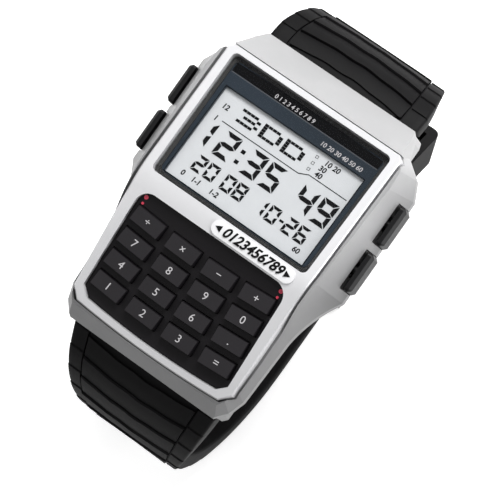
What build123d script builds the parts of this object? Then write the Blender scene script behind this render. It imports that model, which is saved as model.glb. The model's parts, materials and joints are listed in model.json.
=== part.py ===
from build123d import *
import math
import os

# Digital wristwatch with a calculator keypad, strap closed in a loop, in millimetres.
# +X points to 3 o'clock, +Y to 12 o'clock and +Z out of the face.
# The origin lies under the middle of the case, on the surface that the closed strap stands on.
# Depths are measured down from the ridge of the face, where display and keypad planes meet.

# Overall
wrist_room = 33.6
case_thickness = 12.4
case_up_length = 24.2
case_down_length = 24.5
side_flare = 3.45
end_half_width = 12.6
display_tilt = 4.0
keypad_tilt = 13.0
ridge_y = -2.3
overrun = 60.0

# Clearances
seat_gap = 0.06
running_gap = 0.05
loose_gap = 0.15
soft_gap = 0.25

# Case
waist_depth = 7.0
waist_band = 1.4
case_floor_depth = 10.9
lip_up_depth = 7.2
lip_down_depth = 8.3
lip_thickness = 0.35
lug_bottom_depth = 12.1
lug_inner_half_width = 11.2
lug_outer_half_width = 13.4
recess_inner_y = 19.9
lug_end_y = 23.7
ridge_round_radius = 9.0
top_rise = 0.3
floor_inset_share = 0.93
cavity_half_width = 12.2
cavity_top_y = 17.5
cavity_low_y = -19.3
cavity_depth = 6.0
keypad_cavity_half_width = 12.1
keypad_cavity_top_y = -4.2
keypad_cavity_low_y = -19.6
boss_radius = 1.5
boss_depth = 9.2

# Plan outlines, as shares of the half width and the half length of the case
waist_line_shares = [(0.69, 1.0), (0.722, 0.975), (0.777, 0.852), (0.925, 0.772), (1.0, 0.66)]
waist_flare_shares = [(1.0, -0.04), (0.895, -0.2), (0.835, -0.4)]
waist_low_shares = [(0.817, -0.81), (0.774, -0.907), (0.686, -0.982)]
crest_line_shares = [(0.70, 0.835), (0.765, 0.822), (0.80, 0.80), (0.827, 0.74), (0.829, 0.62)]
crest_flare_shares = [(0.824, -0.04), (0.80, -0.2), (0.765, -0.4)]
crest_low_shares = [(0.69, -0.72), (0.665, -0.79), (0.63, -0.82)]

# Bezel
bezel_thickness = 1.7
bezel_top_half_width = 14.75
bezel_mid_half_width = 14.6
bezel_low_half_width = 13.8
bezel_chamfer_half_width = 12.3
bezel_top_y = 19.9
bezel_mid_y = 0.0
bezel_low_y = -20.0
bezel_chamfer_y = -21.6
bezel_bottom_y = -22.1
bezel_corner = 0.7
bezel_edge = 0.18
groove_width = 0.38
groove_end_width = 0.1
window_top_half_width = 13.45
window_bottom_half_width = 13.2
window_top_y = 19.0
window_bottom_y = -0.9
window_corner_radius = 0.8
keyhole_half_width = 12.6
keyhole_top_y = -3.7
keyhole_low_y = -19.3
keyhole_chamfer_half_width = 11.2
keyhole_chamfer_y = -20.6
keyhole_bottom_y = -21.1
keyhole_top_radius = 2.2
plate_half_length = 6.9
plate_half_height = 1.15
plate_centre_x = 5.5
plate_rise = 0.3

# Display stack, depths below the display plane
crystal_drop = 0.2
crystal_thickness = 0.9
gasket_inset = 0.15
gasket_width = 0.7
lcd_view_half_width = 11.8
lcd_view_top = 14.5
lcd_view_bottom = 0.1
lcd_border = 0.7
lcd_thickness = 1.1
light_thickness = 0.5

# Keypad, depths below the keypad plane
keypad_drop = 0.7
key_width = 5.0
key_height = 2.35
key_pitch_x = 6.25
key_pitch_y = 3.43
key_row_y = -7.6
row_arc_radius = 135.0
key_rise_low = 1.05
key_rise_high = 0.5
key_draft = 7.0
key_flange = 0.35
key_flange_thickness = 0.35
key_travel = 0.5
mat_thickness = 0.5
mat_dome_radius = 0.9
key_board_thickness = 0.6
dot_radius = 0.32
small_dot_radius = 0.2
dot_height = 0.1

# Movement
board_depth = 7.3
board_thickness = 0.7
board_half_width = 11.0
board_top_y = 17.2
board_low_y = -2.0
battery_radius = 7.6
battery_thickness = 1.6
battery_y = 9.2
clip_thickness = 0.25
clip_half_width = 2.2
chip_size = 4.2
chip_height = 0.7
chip_x = 8.3
chip_y = 0.3
can_radius = 0.75
can_length = 5.0
can_x = -8.5
can_y = 1.2
strip_width = 1.2
strip_length = 20.0
holder_wall = 0.8
buzzer_radius = 6.0
buzzer_thickness = 0.25
buzzer_y = -10.5
contact_radius = 1.1
contact_wire = 0.4
contact_turns = 5

# Case back
back_thickness = 1.2
back_side_ledge = 1.4
back_end_ledge = 0.55
back_corner = 1.5
back_inset = 0.1
back_gasket_width = 0.5
back_gasket_thickness = 0.3
screw_side_inset = 1.6
screw_end_inset = 2.55
screw_head_radius = 1.1
screw_head_height = 0.55
screw_shank_radius = 0.55
screw_length = 2.6
slot_width = 0.3
slot_depth = 0.25

# Side pushers
pusher_upper_y = 11.4
pusher_lower_y = 3.75
pusher_length = 6.2
pusher_height = 3.7
pusher_depth = 6.6
pusher_proud = 0.55
pusher_recess = 1.2
pusher_edge = 0.45
pusher_cap = 1.0
pusher_travel = 0.6
pusher_stem_radius = 0.7
pusher_stem_end = 11.9
pusher_bore_radius = 0.75
spring_bore_radius = 1.35
spring_bore_depth = 2.2
spring_radius = 1.2
spring_wire = 0.2
spring_turns = 3.0
seal_outer_radius = 1.2
seal_x = 14.2
seal_thickness = 0.5
clip_ring_radius = 1.0
clip_ring_thickness = 0.25

# Strap
strap_half_width = 12.7
strap_end_half_width = 8.0
strap_taper_start = 9.0
taper_end_height = 19.0
strap_thickness = 2.7
strap_thin = 2.1
tail_thickness = 1.9
scale_rise = 0.65
scale_low = 0.12
strap_start_y = 22.6
strap_up_depth = 7.75
strap_down_depth = 9.0
upper_heading = -12.0
upper_shoulder_run = 2.0
upper_shoulder_radius = 9.3
upper_slant = 58.0
upper_bow_radius = 10.0
lower_heading = -36.0
lower_shoulder_run = 4.3
foot_length = 9.4
scale_start = 2.3
scale_pitch = 4.8
upper_scale_count = 4
lower_scale_count = 7
thin_lead = 0.71
spring_bar_y = 21.9
spring_bar_up_depth = 9.2
spring_bar_down_depth = 10.45
strap_boss_radius = 1.45
strap_lug_half_width = 11.0
spring_bar_radius = 0.75
spring_bar_tip_radius = 0.45
spring_bar_tip = 0.9
strap_slot_y = 24.6

# Buckle and keepers
bar_y = 7.6
crossbar_y = 0.1
crossbar_height = 1.6
crossbar_length = 1.5
arm_thickness = 1.2
arm_radius = 0.95
pin_radius = 0.7
bar_boss_radius = 1.5
tongue_half_width = 0.8
tongue_thickness = 0.8
tongue_eye_radius = 1.2
tongue_hole_half_width = 1.15
tongue_hole_start = 4.75
tongue_hole_end = 7.8
hole_pitch = 4.6
hole_count = 3
hole_radius = 0.9
keeper_wall = 1.5
keeper_inner_wall = 1.1
keeper_bar_lead = 1.8
keeper_fixed_length = 3.2
keeper_free_length = 6.4
keeper_free_lift = 1.22
tail_in_keeper = 1.8
ramp_length = 2.6
crossbar_clear = 0.15

# Sizes that follow from the ones above
face_height = case_thickness + wrist_room
body_half_width = bezel_top_half_width + side_flare
pusher_reach = body_half_width + pusher_proud
pusher_seat = body_half_width - pusher_recess
back_half_width = cavity_half_width + back_side_ledge
back_half_length = (cavity_top_y - cavity_low_y) / 2 + back_end_ledge
screw_x = back_half_width - screw_side_inset
screw_y = back_half_length - screw_end_inset
strap_taper_end = face_height - taper_end_height
keypad_thickness = bezel_thickness - keypad_drop - seat_gap
tail_floor = crossbar_height + loose_gap
tail_track_offset = soft_gap + tail_thickness
strap_track_floor = tail_floor + tail_track_offset


def level(depth):
    return face_height - depth


def plane_depth(y):
    tilt = display_tilt if y > ridge_y else keypad_tilt
    return abs(y - ridge_y) * math.tan(math.radians(tilt))


display_plane = Plane(
    origin=(0, ridge_y, face_height),
    x_dir=(1, 0, 0),
    z_dir=(0, math.sin(math.radians(display_tilt)), math.cos(math.radians(display_tilt))),
)
keypad_plane = Plane(
    origin=(0, ridge_y, face_height),
    x_dir=(1, 0, 0),
    z_dir=(0, -math.sin(math.radians(keypad_tilt)), math.cos(math.radians(keypad_tilt))),
)


def on_display(y):
    return (y - ridge_y) / math.cos(math.radians(display_tilt))


def on_keypad(y):
    return (y - ridge_y) / math.cos(math.radians(keypad_tilt))


def block(x_low, x_high, y_low, y_high, z_low, z_high):
    size = (x_high - x_low, y_high - y_low, z_high - z_low)
    centre = ((x_low + x_high) / 2, (y_low + y_high) / 2, (z_low + z_high) / 2)
    return Pos(*centre) * Box(*size)


def polygon(points):
    return make_face(Polyline(*points, close=True))


def mirrored(points):
    return points + [(-x, y) for x, y in reversed(points)]


def plan_prism(points, z_low, z_high):
    return Pos(0, 0, z_low) * extrude(polygon(points), amount=z_high - z_low)


def side_prism(points, half_width):
    return extrude(Plane.YZ * polygon(points), amount=half_width, both=True)


def rod_x(radius, x_low, x_high, y, z):
    rod = Cylinder(radius, x_high - x_low)
    return Pos((x_low + x_high) / 2, y, z) * Rot(0, 90, 0) * rod


# Face surface in side view

def ridge_points(drop):
    half_turn = math.radians(display_tilt + keypad_tilt) / 2
    reach = ridge_round_radius * math.tan(half_turn)
    sag = ridge_round_radius / math.cos(half_turn) - ridge_round_radius
    up = math.radians(display_tilt)
    down = math.radians(keypad_tilt)
    top = face_height - drop
    start = (ridge_y - reach * math.cos(down), top - reach * math.sin(down))
    middle = (ridge_y, top - sag)
    end = (ridge_y + reach * math.cos(up), top - reach * math.sin(up))
    return start, middle, end


def face_layer(y_low, y_high, drop_top, drop_bottom, half_width):
    start, middle, end = ridge_points(drop_top)
    top_low = (y_low, face_height - plane_depth(y_low) - drop_top)
    top_high = (y_high, face_height - plane_depth(y_high) - drop_top)
    bottom_low = (y_low, face_height - plane_depth(y_low) - drop_bottom)
    bottom_high = (y_high, face_height - plane_depth(y_high) - drop_bottom)
    bottom_mid = (ridge_y, face_height - drop_bottom)
    edges = [
        Line(top_low, start),
        ThreePointArc(start, middle, end),
        Line(end, top_high),
        Line(top_high, bottom_high),
        Line(bottom_high, bottom_mid),
        Line(bottom_mid, bottom_low),
        Line(bottom_low, top_low),
    ]
    return extrude(Plane.YZ * make_face(edges), amount=half_width, both=True)


def case_outline(line_shares, flare_shares, low_shares, inset_share):
    def point(share):
        length = case_up_length if share[1] > 0 else case_down_length
        return (share[0] * body_half_width * inset_share, share[1] * length * inset_share)

    line = [point(share) for share in line_shares]
    flare = [point(share) for share in flare_shares]
    low = [point(share) for share in low_shares]
    edges = []
    for side in (1, -1):
        chain = [(side * x, y) for x, y in line + [flare[0]]]
        for first, second in zip(chain, chain[1:]):
            edges.append(Line(first, second))
        edges.append(ThreePointArc(*[(side * x, y) for x, y in flare]))
        chain = [(side * x, y) for x, y in [flare[-1]] + low]
        for first, second in zip(chain, chain[1:]):
            edges.append(Line(first, second))
    edges.append(Line((line[0][0], line[0][1]), (-line[0][0], line[0][1])))
    edges.append(Line((low[-1][0], low[-1][1]), (-low[-1][0], low[-1][1])))
    return make_face(edges)


def case_shell():
    waist = case_outline(waist_line_shares, waist_flare_shares, waist_low_shares, 1)
    crest = case_outline(crest_line_shares, crest_flare_shares, crest_low_shares, 1)
    floor = case_outline(waist_line_shares, waist_flare_shares, waist_low_shares, floor_inset_share)
    waist_top = Pos(0, 0, level(waist_depth)) * waist
    waist_low = Pos(0, 0, level(waist_depth + waist_band)) * waist
    upper = loft([waist_top, Pos(0, 0, level(-top_rise)) * crest], ruled=True)
    band = Pos(0, 0, level(waist_depth + waist_band)) * extrude(waist, amount=waist_band)
    lower = loft([Pos(0, 0, level(case_floor_depth)) * floor, waist_low], ruled=True)
    return upper + band + lower


def case_side_profile():
    start, middle, end = ridge_points(0)
    crest_up = (bezel_top_y + groove_end_width, level(plane_depth(bezel_top_y)))
    crest_down = (bezel_bottom_y - groove_end_width, level(plane_depth(bezel_bottom_y)))
    lip_up = (case_up_length, level(lip_up_depth))
    lip_down = (-case_down_length, level(lip_down_depth))
    low_up = (case_up_length, level(case_thickness))
    low_down = (-case_down_length, level(case_thickness))
    edges = [
        Line(crest_down, start),
        ThreePointArc(start, middle, end),
        Line(end, crest_up),
        Line(crest_up, lip_up),
        Line(lip_up, low_up),
        Line(low_up, low_down),
        Line(low_down, lip_down),
        Line(lip_down, crest_down),
    ]
    return extrude(Plane.YZ * make_face(edges), amount=overrun, both=True)


def bezel_points(side_gap, end_gap):
    half = [
        (bezel_top_half_width - bezel_corner + side_gap, bezel_top_y + end_gap),
        (bezel_top_half_width + side_gap, bezel_top_y - bezel_corner + end_gap),
        (bezel_mid_half_width + side_gap, bezel_mid_y),
        (bezel_low_half_width + side_gap, bezel_low_y),
        (bezel_chamfer_half_width + side_gap, bezel_chamfer_y - end_gap),
    ]
    return half


def bezel_face(side_gap, end_gap):
    half = bezel_points(side_gap, end_gap)
    edges = []
    for side in (1, -1):
        chain = [(side * x, y) for x, y in half]
        for first, second in zip(chain, chain[1:]):
            edges.append(Line(first, second))
    top_x, top_y = half[0]
    low_x, low_y = half[-1]
    edges.append(Line((top_x, top_y), (-top_x, top_y)))
    edges.append(ThreePointArc((low_x, low_y), (0, bezel_bottom_y - end_gap), (-low_x, low_y)))
    return make_face(edges)


def window_face(gap):
    top = on_display(window_top_y) - gap
    low = on_display(window_bottom_y) + gap
    points = mirrored([(window_top_half_width - gap, top), (window_bottom_half_width - gap, low)])
    face = polygon(points)
    return fillet(face.vertices(), radius=window_corner_radius)


def keyhole_face(gap):
    top = on_keypad(keyhole_top_y) - gap
    low = on_keypad(keyhole_low_y)
    chamfer_y = on_keypad(keyhole_chamfer_y) + gap
    bottom = on_keypad(keyhole_bottom_y) + gap
    wide = keyhole_half_width - gap
    narrow = keyhole_chamfer_half_width - gap
    edges = [
        Line((wide, top), (wide, low)),
        Line((wide, low), (narrow, chamfer_y)),
        ThreePointArc((narrow, chamfer_y), (0, bottom), (-narrow, chamfer_y)),
        Line((-narrow, chamfer_y), (-wide, low)),
        Line((-wide, low), (-wide, top)),
        Line((-wide, top), (wide, top)),
    ]
    face = make_face(edges)
    corners = [v for v in face.vertices() if v.Y > top - gap - seat_gap]
    return fillet(corners, radius=keyhole_top_radius)


def plane_prism(plane, face, high, low):
    return plane * Pos(0, 0, low) * extrude(face, amount=high - low)


# Case and bezel

def pusher_sites():
    return [(side, y) for y in (pusher_upper_y, pusher_lower_y) for side in (-1, 1)]


def mirror_x(shape, side):
    return shape if side > 0 else mirror(shape, about=Plane.YZ)


def make_case():
    body = case_shell() & case_side_profile()
    lugs = []
    for y_side in (1, -1):
        y_low, y_high = sorted((y_side * (recess_inner_y + loose_gap), y_side * lug_end_y))
        for x_side in (1, -1):
            x_low, x_high = sorted((x_side * lug_inner_half_width, x_side * lug_outer_half_width))
            lugs.append(block(x_low, x_high, y_low, y_high, level(lug_bottom_depth), level(waist_depth)))
    waist = case_outline(waist_line_shares, waist_flare_shares, waist_low_shares, 1)
    limit = Pos(0, 0, level(case_thickness)) * extrude(waist, amount=case_thickness)
    for lug in lugs:
        body += lug & limit
    pocket = Pos(0, 0, level(overrun)) * extrude(bezel_face(groove_width, groove_end_width), amount=2 * overrun)
    above = face_layer(-overrun, overrun, -overrun, bezel_thickness, overrun)
    body -= pocket & above
    body -= plane_prism(display_plane, window_face(0), overrun, -gasket_low)
    body -= plane_prism(display_plane, window_face(gasket_width), overrun, -cavity_depth)
    body -= display_box(lcd_view_half_width + lcd_border + loose_gap, lcd_view_top + lcd_border + loose_gap,
                        lcd_view_bottom - lcd_border - loose_gap, gasket_low, cavity_depth)
    body -= keypad_area(0, overrun, -cavity_depth)
    well = block(-cavity_half_width, cavity_half_width, cavity_low_y, cavity_top_y,
                 level(overrun), level(cavity_depth))
    for boss in screw_bosses(0):
        well -= boss
    body -= well
    recess_tops = {1: lip_up_depth + lip_thickness, -1: lip_down_depth + lip_thickness}
    for y_side, depth in recess_tops.items():
        y_low, y_high = sorted((y_side * recess_inner_y, y_side * overrun))
        body -= block(-lug_inner_half_width, lug_inner_half_width, y_low, y_high,
                      level(overrun), level(depth))
        y_low, y_high = sorted((y_side * lug_end_y, y_side * overrun))
        body -= block(-overrun, overrun, y_low, y_high, level(overrun), level(depth))
    for y_side, depth in spring_bar_depths().items():
        reach = lug_inner_half_width + spring_bar_tip + loose_gap
        body -= rod_x(spring_bar_tip_radius + running_gap, -reach, reach,
                      y_side * spring_bar_y, level(depth))
    for side, y in pusher_sites():
        body -= mirror_x(pusher_cut(y), side)
    for x, y in screw_sites():
        drill = Cylinder(screw_shank_radius + loose_gap / 2, 2 * (screw_length + loose_gap))
        body -= Pos(x, y, level(case_thickness)) * drill
    return body


def screw_bosses(gap):
    high = level(boss_depth - gap)
    low = level(case_thickness)
    radius = boss_radius + gap
    return [Pos(x, y, (high + low) / 2) * Cylinder(radius, high - low) for x, y in screw_sites()]


def pusher_cut(y):
    z = level(pusher_depth)
    seat = block(pusher_seat, overrun, y - pusher_length / 2 - loose_gap,
                 y + pusher_length / 2 + loose_gap, z - pusher_height / 2 - loose_gap,
                 z + pusher_height / 2 + loose_gap)
    bore = rod_x(pusher_bore_radius, 0, overrun, y, z)
    well = rod_x(spring_bore_radius, pusher_seat - spring_bore_depth, pusher_seat + seat_gap, y, z)
    groove = rod_x(seal_outer_radius, seal_x, seal_x + seal_thickness, y, z)
    return seat + bore + well + groove


def make_bezel():
    layer = face_layer(-overrun, overrun, 0, bezel_thickness, overrun)
    prism = extrude(bezel_face(0, 0), amount=2 * face_height)
    plate = layer & prism
    tops = [f for f in plate.faces() if f.normal_at().Z > math.cos(math.radians(2 * keypad_tilt))]
    rim = []
    for face in tops:
        for edge in face.outer_wire().edges():
            middle = edge.position_at(1 / 2)
            if abs(middle.X) > bezel_chamfer_half_width / 2 or abs(middle.Y) > bezel_mid_half_width:
                rim.append(edge)
    plate = chamfer(rim, length=bezel_edge)
    plate -= plane_prism(display_plane, window_face(0), overrun, -overrun)
    plate -= plane_prism(keypad_plane, keyhole_face(0), overrun, -overrun)
    return plate


def make_number_plate():
    centre_y = (window_bottom_y + keyhole_top_y) / 2
    oval = SlotOverall(2 * plate_half_length, 2 * plate_half_height)
    prism = Pos(plate_centre_x, centre_y, 0) * extrude(oval, amount=2 * face_height)
    layer = face_layer(-overrun, overrun, -plate_rise, 0, overrun)
    return prism & layer


# Display

def display_box(half_width, y_top, y_low, drop_top, drop_low):
    top = on_display(y_top)
    low = on_display(y_low)
    face = Pos(0, (top + low) / 2, 0) * Rectangle(2 * half_width, top - low)
    return plane_prism(display_plane, face, -drop_top, -drop_low)


crystal_low = crystal_drop + crystal_thickness
gasket_low = bezel_thickness
lcd_low = gasket_low + lcd_thickness
light_low = lcd_low + light_thickness


def make_crystal():
    return plane_prism(display_plane, window_face(seat_gap), -crystal_drop, -crystal_low)


def make_crystal_gasket():
    outer = plane_prism(display_plane, window_face(gasket_inset), -crystal_low, -gasket_low)
    inner = plane_prism(display_plane, window_face(gasket_width), overrun, -overrun)
    return outer - inner


def make_display_mask():
    outline = window_face(gasket_width + seat_gap)
    plate = plane_prism(display_plane, outline, -crystal_low - seat_gap, -gasket_low)
    return plate - display_box(lcd_view_half_width, lcd_view_top, lcd_view_bottom, -overrun, overrun)


def make_lcd():
    return display_box(lcd_view_half_width + lcd_border, lcd_view_top + lcd_border,
                       lcd_view_bottom - lcd_border, gasket_low, lcd_low)


def make_light_panel():
    return display_box(lcd_view_half_width, lcd_view_top, lcd_view_bottom, lcd_low, light_low)


def make_connector_strips():
    strips = []
    for y in (lcd_view_top + lcd_border / 2 - strip_width / 2, lcd_view_bottom - lcd_border / 2 + strip_width / 2):
        bottom = level(board_depth)
        tall = block(-strip_length / 2, strip_length / 2, y - strip_width / 2, y + strip_width / 2,
                     bottom, face_height)
        roof = display_box(overrun, overrun, -overrun, -overrun, light_low)
        strips.append(tall - roof)
    return strips


# Keypad

mat_top = keypad_drop + keypad_thickness + seat_gap + key_flange_thickness + key_travel + seat_gap
mat_base = mat_top + mat_dome_radius / 2
mat_low = mat_base + mat_thickness
key_board_low = mat_low + key_board_thickness

key_names = [
    ["divide", "times", "minus", "plus"],
    ["7", "8", "9", "0"],
    ["4", "5", "6", "point"],
    ["1", "2", "3", "equals"],
]


def key_sites():
    sites = []
    for row, names in enumerate(key_names):
        for column, name in enumerate(names):
            x = (column - (len(names) - 1) / 2) * key_pitch_x
            arc = x * x / (2 * row_arc_radius)
            y = key_row_y - row * key_pitch_y + arc
            turn = math.degrees(math.atan2(x, row_arc_radius))
            sites.append((name, Pos(x, on_keypad(y), 0) * Rot(0, 0, turn)))
    return sites


def make_keypad_plate():
    plate = plane_prism(keypad_plane, keyhole_face(seat_gap), -keypad_drop, -keypad_drop - keypad_thickness)
    hole = Rectangle(key_width + 2 * loose_gap, key_height + 2 * loose_gap)
    for name, site in key_sites():
        plate -= plane_prism(keypad_plane, site * hole, overrun, -overrun)
    return plate


def make_key(site):
    plate_low = -keypad_drop - keypad_thickness
    foot = plate_low - seat_gap
    shoulder = -keypad_drop
    shaft = Pos(0, 0, foot) * extrude(Rectangle(key_width, key_height), amount=shoulder - foot)
    head = Pos(0, 0, shoulder) * extrude(Rectangle(key_width, key_height), amount=2 * key_rise_low, taper=key_draft)
    slope = [
        (-key_height, shoulder + key_rise_low),
        (-key_height / 2, shoulder + key_rise_low),
        (key_height / 2, shoulder + key_rise_high),
        (key_height, shoulder + key_rise_high),
        (key_height, overrun),
        (-key_height, overrun),
    ]
    head -= side_prism(slope, overrun)
    flange_top = foot
    flange = Pos(0, 0, flange_top - key_flange_thickness) * extrude(
        Rectangle(key_width, key_height + 2 * key_flange), amount=key_flange_thickness)
    return keypad_plane * site * (shaft + head + flange)


def keypad_area(gap, high, low):
    half = keypad_cavity_half_width - gap
    top = on_keypad(keypad_cavity_top_y) - gap
    bottom = on_keypad(keypad_cavity_low_y) + gap
    face = Pos(0, (top + bottom) / 2, 0) * Rectangle(2 * half, top - bottom)
    return plane_prism(keypad_plane, face, high, low)


def make_keypad_mat():
    mat = keypad_area(loose_gap, -mat_base, -mat_low)
    for name, site in key_sites():
        dome = Pos(0, 0, -mat_base) * Cone(mat_dome_radius, mat_dome_radius / 2, mat_dome_radius / 2,
                                           align=(Align.CENTER, Align.CENTER, Align.MIN))
        mat += keypad_plane * site * dome
    return mat


def make_key_board():
    return keypad_area(loose_gap, -mat_low, -key_board_low)


def make_signal_dots():
    dots = []
    for side in (-1, 1):
        for radius, x, y in ((dot_radius, keyhole_half_width - key_flange - dot_radius * 2, keyhole_top_y - dot_radius * 3),
                             (small_dot_radius, keyhole_half_width - key_flange - dot_radius * 2, keyhole_top_y - dot_radius * 6)):
            dot = Pos(side * x, on_keypad(y), -keypad_drop) * Cylinder(
                radius, dot_height, align=(Align.CENTER, Align.CENTER, Align.MIN))
            dots.append(keypad_plane * dot)
    return dots


# Movement

def make_circuit_board():
    board = block(-board_half_width, board_half_width, board_low_y, board_top_y,
                  level(board_depth + board_thickness), level(board_depth))
    return board


board_low = board_depth + board_thickness


def make_chip():
    return block(chip_x - chip_size / 2, chip_x + chip_size / 2, chip_y - chip_size / 2,
                 chip_y + chip_size / 2, level(board_low + chip_height), level(board_low))


def make_quartz_can():
    return rod_x(can_radius, can_x - can_length / 2, can_x + can_length / 2, can_y,
                 level(board_low + can_radius))


def make_battery():
    top = level(board_low + clip_thickness)
    return Pos(0, battery_y, top - battery_thickness / 2) * Cylinder(battery_radius, battery_thickness)


def make_battery_clip():
    outer = battery_radius + loose_gap + clip_thickness
    top = level(board_low)
    low = top - clip_thickness - battery_thickness - clip_thickness
    frame = block(-outer, outer, battery_y - clip_half_width, battery_y + clip_half_width, low, top)
    room = block(-outer + clip_thickness, outer - clip_thickness, battery_y - overrun, battery_y + overrun,
                 low + clip_thickness, top)
    return frame - room


def make_module_holder():
    gap = loose_gap
    low = level(case_floor_depth - back_gasket_thickness)
    outer = cavity_half_width - gap
    ring = block(-outer, outer, board_low_y - holder_wall, cavity_top_y - gap, low,
                 level(board_depth - holder_wall))
    ring -= block(-board_half_width - gap, board_half_width + gap, board_low_y - gap,
                  board_top_y + gap, level(overrun), level(-overrun))
    rails = block(-outer, outer, cavity_low_y + gap, board_low_y - holder_wall, low, face_height)
    rails -= block(-board_half_width, board_half_width, cavity_low_y + gap + holder_wall,
                   board_low_y, level(overrun), level(-overrun))
    rails -= keypad_area(-overrun, overrun, -key_board_low - seat_gap)
    rails -= block(-overrun, overrun, keypad_cavity_top_y - gap, overrun, level(cavity_depth + gap), face_height)
    frame = ring + rails
    for side, y in pusher_sites():
        frame -= mirror_x(rod_x(clip_ring_radius + gap, 0, overrun, y, level(pusher_depth)), side)
    for boss in screw_bosses(gap):
        frame -= boss
    return frame


def make_buzzer():
    low = level(case_thickness - back_thickness)
    return Pos(0, buzzer_y, low + buzzer_thickness / 2) * Cylinder(buzzer_radius, buzzer_thickness)


def coil(radius, wire, turns, length):
    height = length - wire
    path = Helix(pitch=height / turns, height=height, radius=radius - wire / 2)
    section = Plane(origin=path.position_at(0), z_dir=path.tangent_at(0)) * Circle(wire / 2)
    return Pos(0, 0, wire / 2) * sweep(section, path=path, is_frenet=True)


def make_buzzer_spring():
    low = level(case_thickness - back_thickness) + buzzer_thickness
    high = keypad_underside(buzzer_y - contact_radius) - seat_gap
    return Pos(0, buzzer_y, low) * coil(contact_radius, contact_wire, contact_turns, high - low)


def keypad_underside(y):
    drop = key_board_low / math.cos(math.radians(keypad_tilt))
    return face_height - plane_depth(y) - drop


# Case back

def rounded_plate(half_width, half_length, corner, z_low, thickness):
    face = RectangleRounded(2 * half_width, 2 * half_length, corner)
    return Pos(0, back_centre_y, z_low) * extrude(face, amount=thickness)


back_centre_y = (cavity_top_y + cavity_low_y) / 2


def screw_sites():
    return [(sx * screw_x, back_centre_y + sy * screw_y) for sx in (-1, 1) for sy in (-1, 1)]


def make_back_gasket():
    z_low = level(case_floor_depth + back_gasket_thickness)
    half_width = back_half_width - back_inset
    half_length = back_half_length - back_inset
    outer = rounded_plate(half_width, half_length, back_corner, z_low, back_gasket_thickness)
    inner = rounded_plate(half_width - back_gasket_width, half_length - back_gasket_width,
                          back_corner - back_gasket_width, z_low, back_gasket_thickness)
    ring = outer - inner
    for x, y in screw_sites():
        ring -= Pos(x, y, z_low) * Cylinder(screw_shank_radius + loose_gap, case_thickness)
    return ring


def make_case_back():
    z_low = level(case_thickness)
    thickness = case_thickness - case_floor_depth - back_gasket_thickness
    plate = rounded_plate(back_half_width, back_half_length, back_corner, z_low, thickness)
    for x, y in screw_sites():
        plate -= Pos(x, y, z_low) * Cylinder(screw_shank_radius + loose_gap / 2, case_thickness)
        plate -= Pos(x, y, z_low) * Cylinder(screw_head_radius + loose_gap, 2 * screw_head_height + 2 * seat_gap)
    return plate


def make_back_screws():
    screws = []
    z_low = level(case_thickness) + seat_gap
    for x, y in screw_sites():
        head = Cylinder(screw_head_radius, screw_head_height, align=(Align.CENTER, Align.CENTER, Align.MIN))
        head -= Box(2 * screw_head_radius, slot_width, 2 * slot_depth)
        head -= Box(slot_width, 2 * screw_head_radius, 2 * slot_depth)
        shank = Pos(0, 0, screw_head_height) * Cylinder(
            screw_shank_radius, screw_length - screw_head_height,
            align=(Align.CENTER, Align.CENTER, Align.MIN))
        screws.append(Pos(x, y, z_low) * (head + shank))
    return screws


# Pushers

def make_pusher(side, y):
    z = level(pusher_depth)
    face = Plane.YZ * Pos(y, z) * RectangleRounded(pusher_length, pusher_height, pusher_edge)
    cap_low = pusher_seat + pusher_travel + running_gap
    cap = Pos(cap_low, 0, 0) * extrude(face, amount=pusher_reach - cap_low)
    cap = chamfer(cap.faces().sort_by(Axis.X)[-1].edges(), length=pusher_edge)
    stem = rod_x(pusher_stem_radius, pusher_stem_end - clip_ring_thickness, cap_low + seat_gap, y, z)
    groove = rod_x(clip_ring_radius, pusher_stem_end, pusher_stem_end + clip_ring_thickness, y, z)
    groove -= rod_x(pusher_stem_radius - seat_gap * 2, pusher_stem_end - seat_gap,
                    pusher_stem_end + clip_ring_thickness + seat_gap, y, z)
    return mirror_x(cap + (stem - groove), side)


def make_pusher_clip(side, y):
    z = level(pusher_depth)
    ring = rod_x(clip_ring_radius, pusher_stem_end, pusher_stem_end + clip_ring_thickness, y, z)
    ring -= rod_x(pusher_stem_radius - seat_gap * 2 + seat_gap / 3, pusher_stem_end - seat_gap,
                  pusher_stem_end + clip_ring_thickness + seat_gap, y, z)
    mouth = block(pusher_stem_end - seat_gap, pusher_stem_end + clip_ring_thickness + seat_gap,
                  y - pusher_stem_radius / 2, y + pusher_stem_radius / 2, z - overrun, z)
    return mirror_x(ring - mouth, side)


def make_pusher_spring(side, y):
    low = pusher_seat - spring_bore_depth
    turned = Rot(0, 90, 0) * coil(spring_radius, spring_wire, spring_turns, spring_bore_depth - running_gap)
    return mirror_x(Pos(low, y, level(pusher_depth)) * turned, side)


def make_pusher_seals():
    seals = []
    for side, y in pusher_sites():
        z = level(pusher_depth)
        ring = rod_x(seal_outer_radius - seat_gap / 2, seal_x + seat_gap, seal_x + seal_thickness - seat_gap, y, z)
        ring -= rod_x(pusher_stem_radius + running_gap / 2, seal_x, seal_x + seal_thickness, y, z)
        seals.append(mirror_x(ring, side))
    return seals


# Strap tracks: the outer line of each half in side view, as straight and arc stretches.
# A place on a track is a distance s along it and an offset from it, positive away from the wrist.

def spring_bar_depths():
    return {1: spring_bar_up_depth, -1: spring_bar_down_depth}


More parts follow.
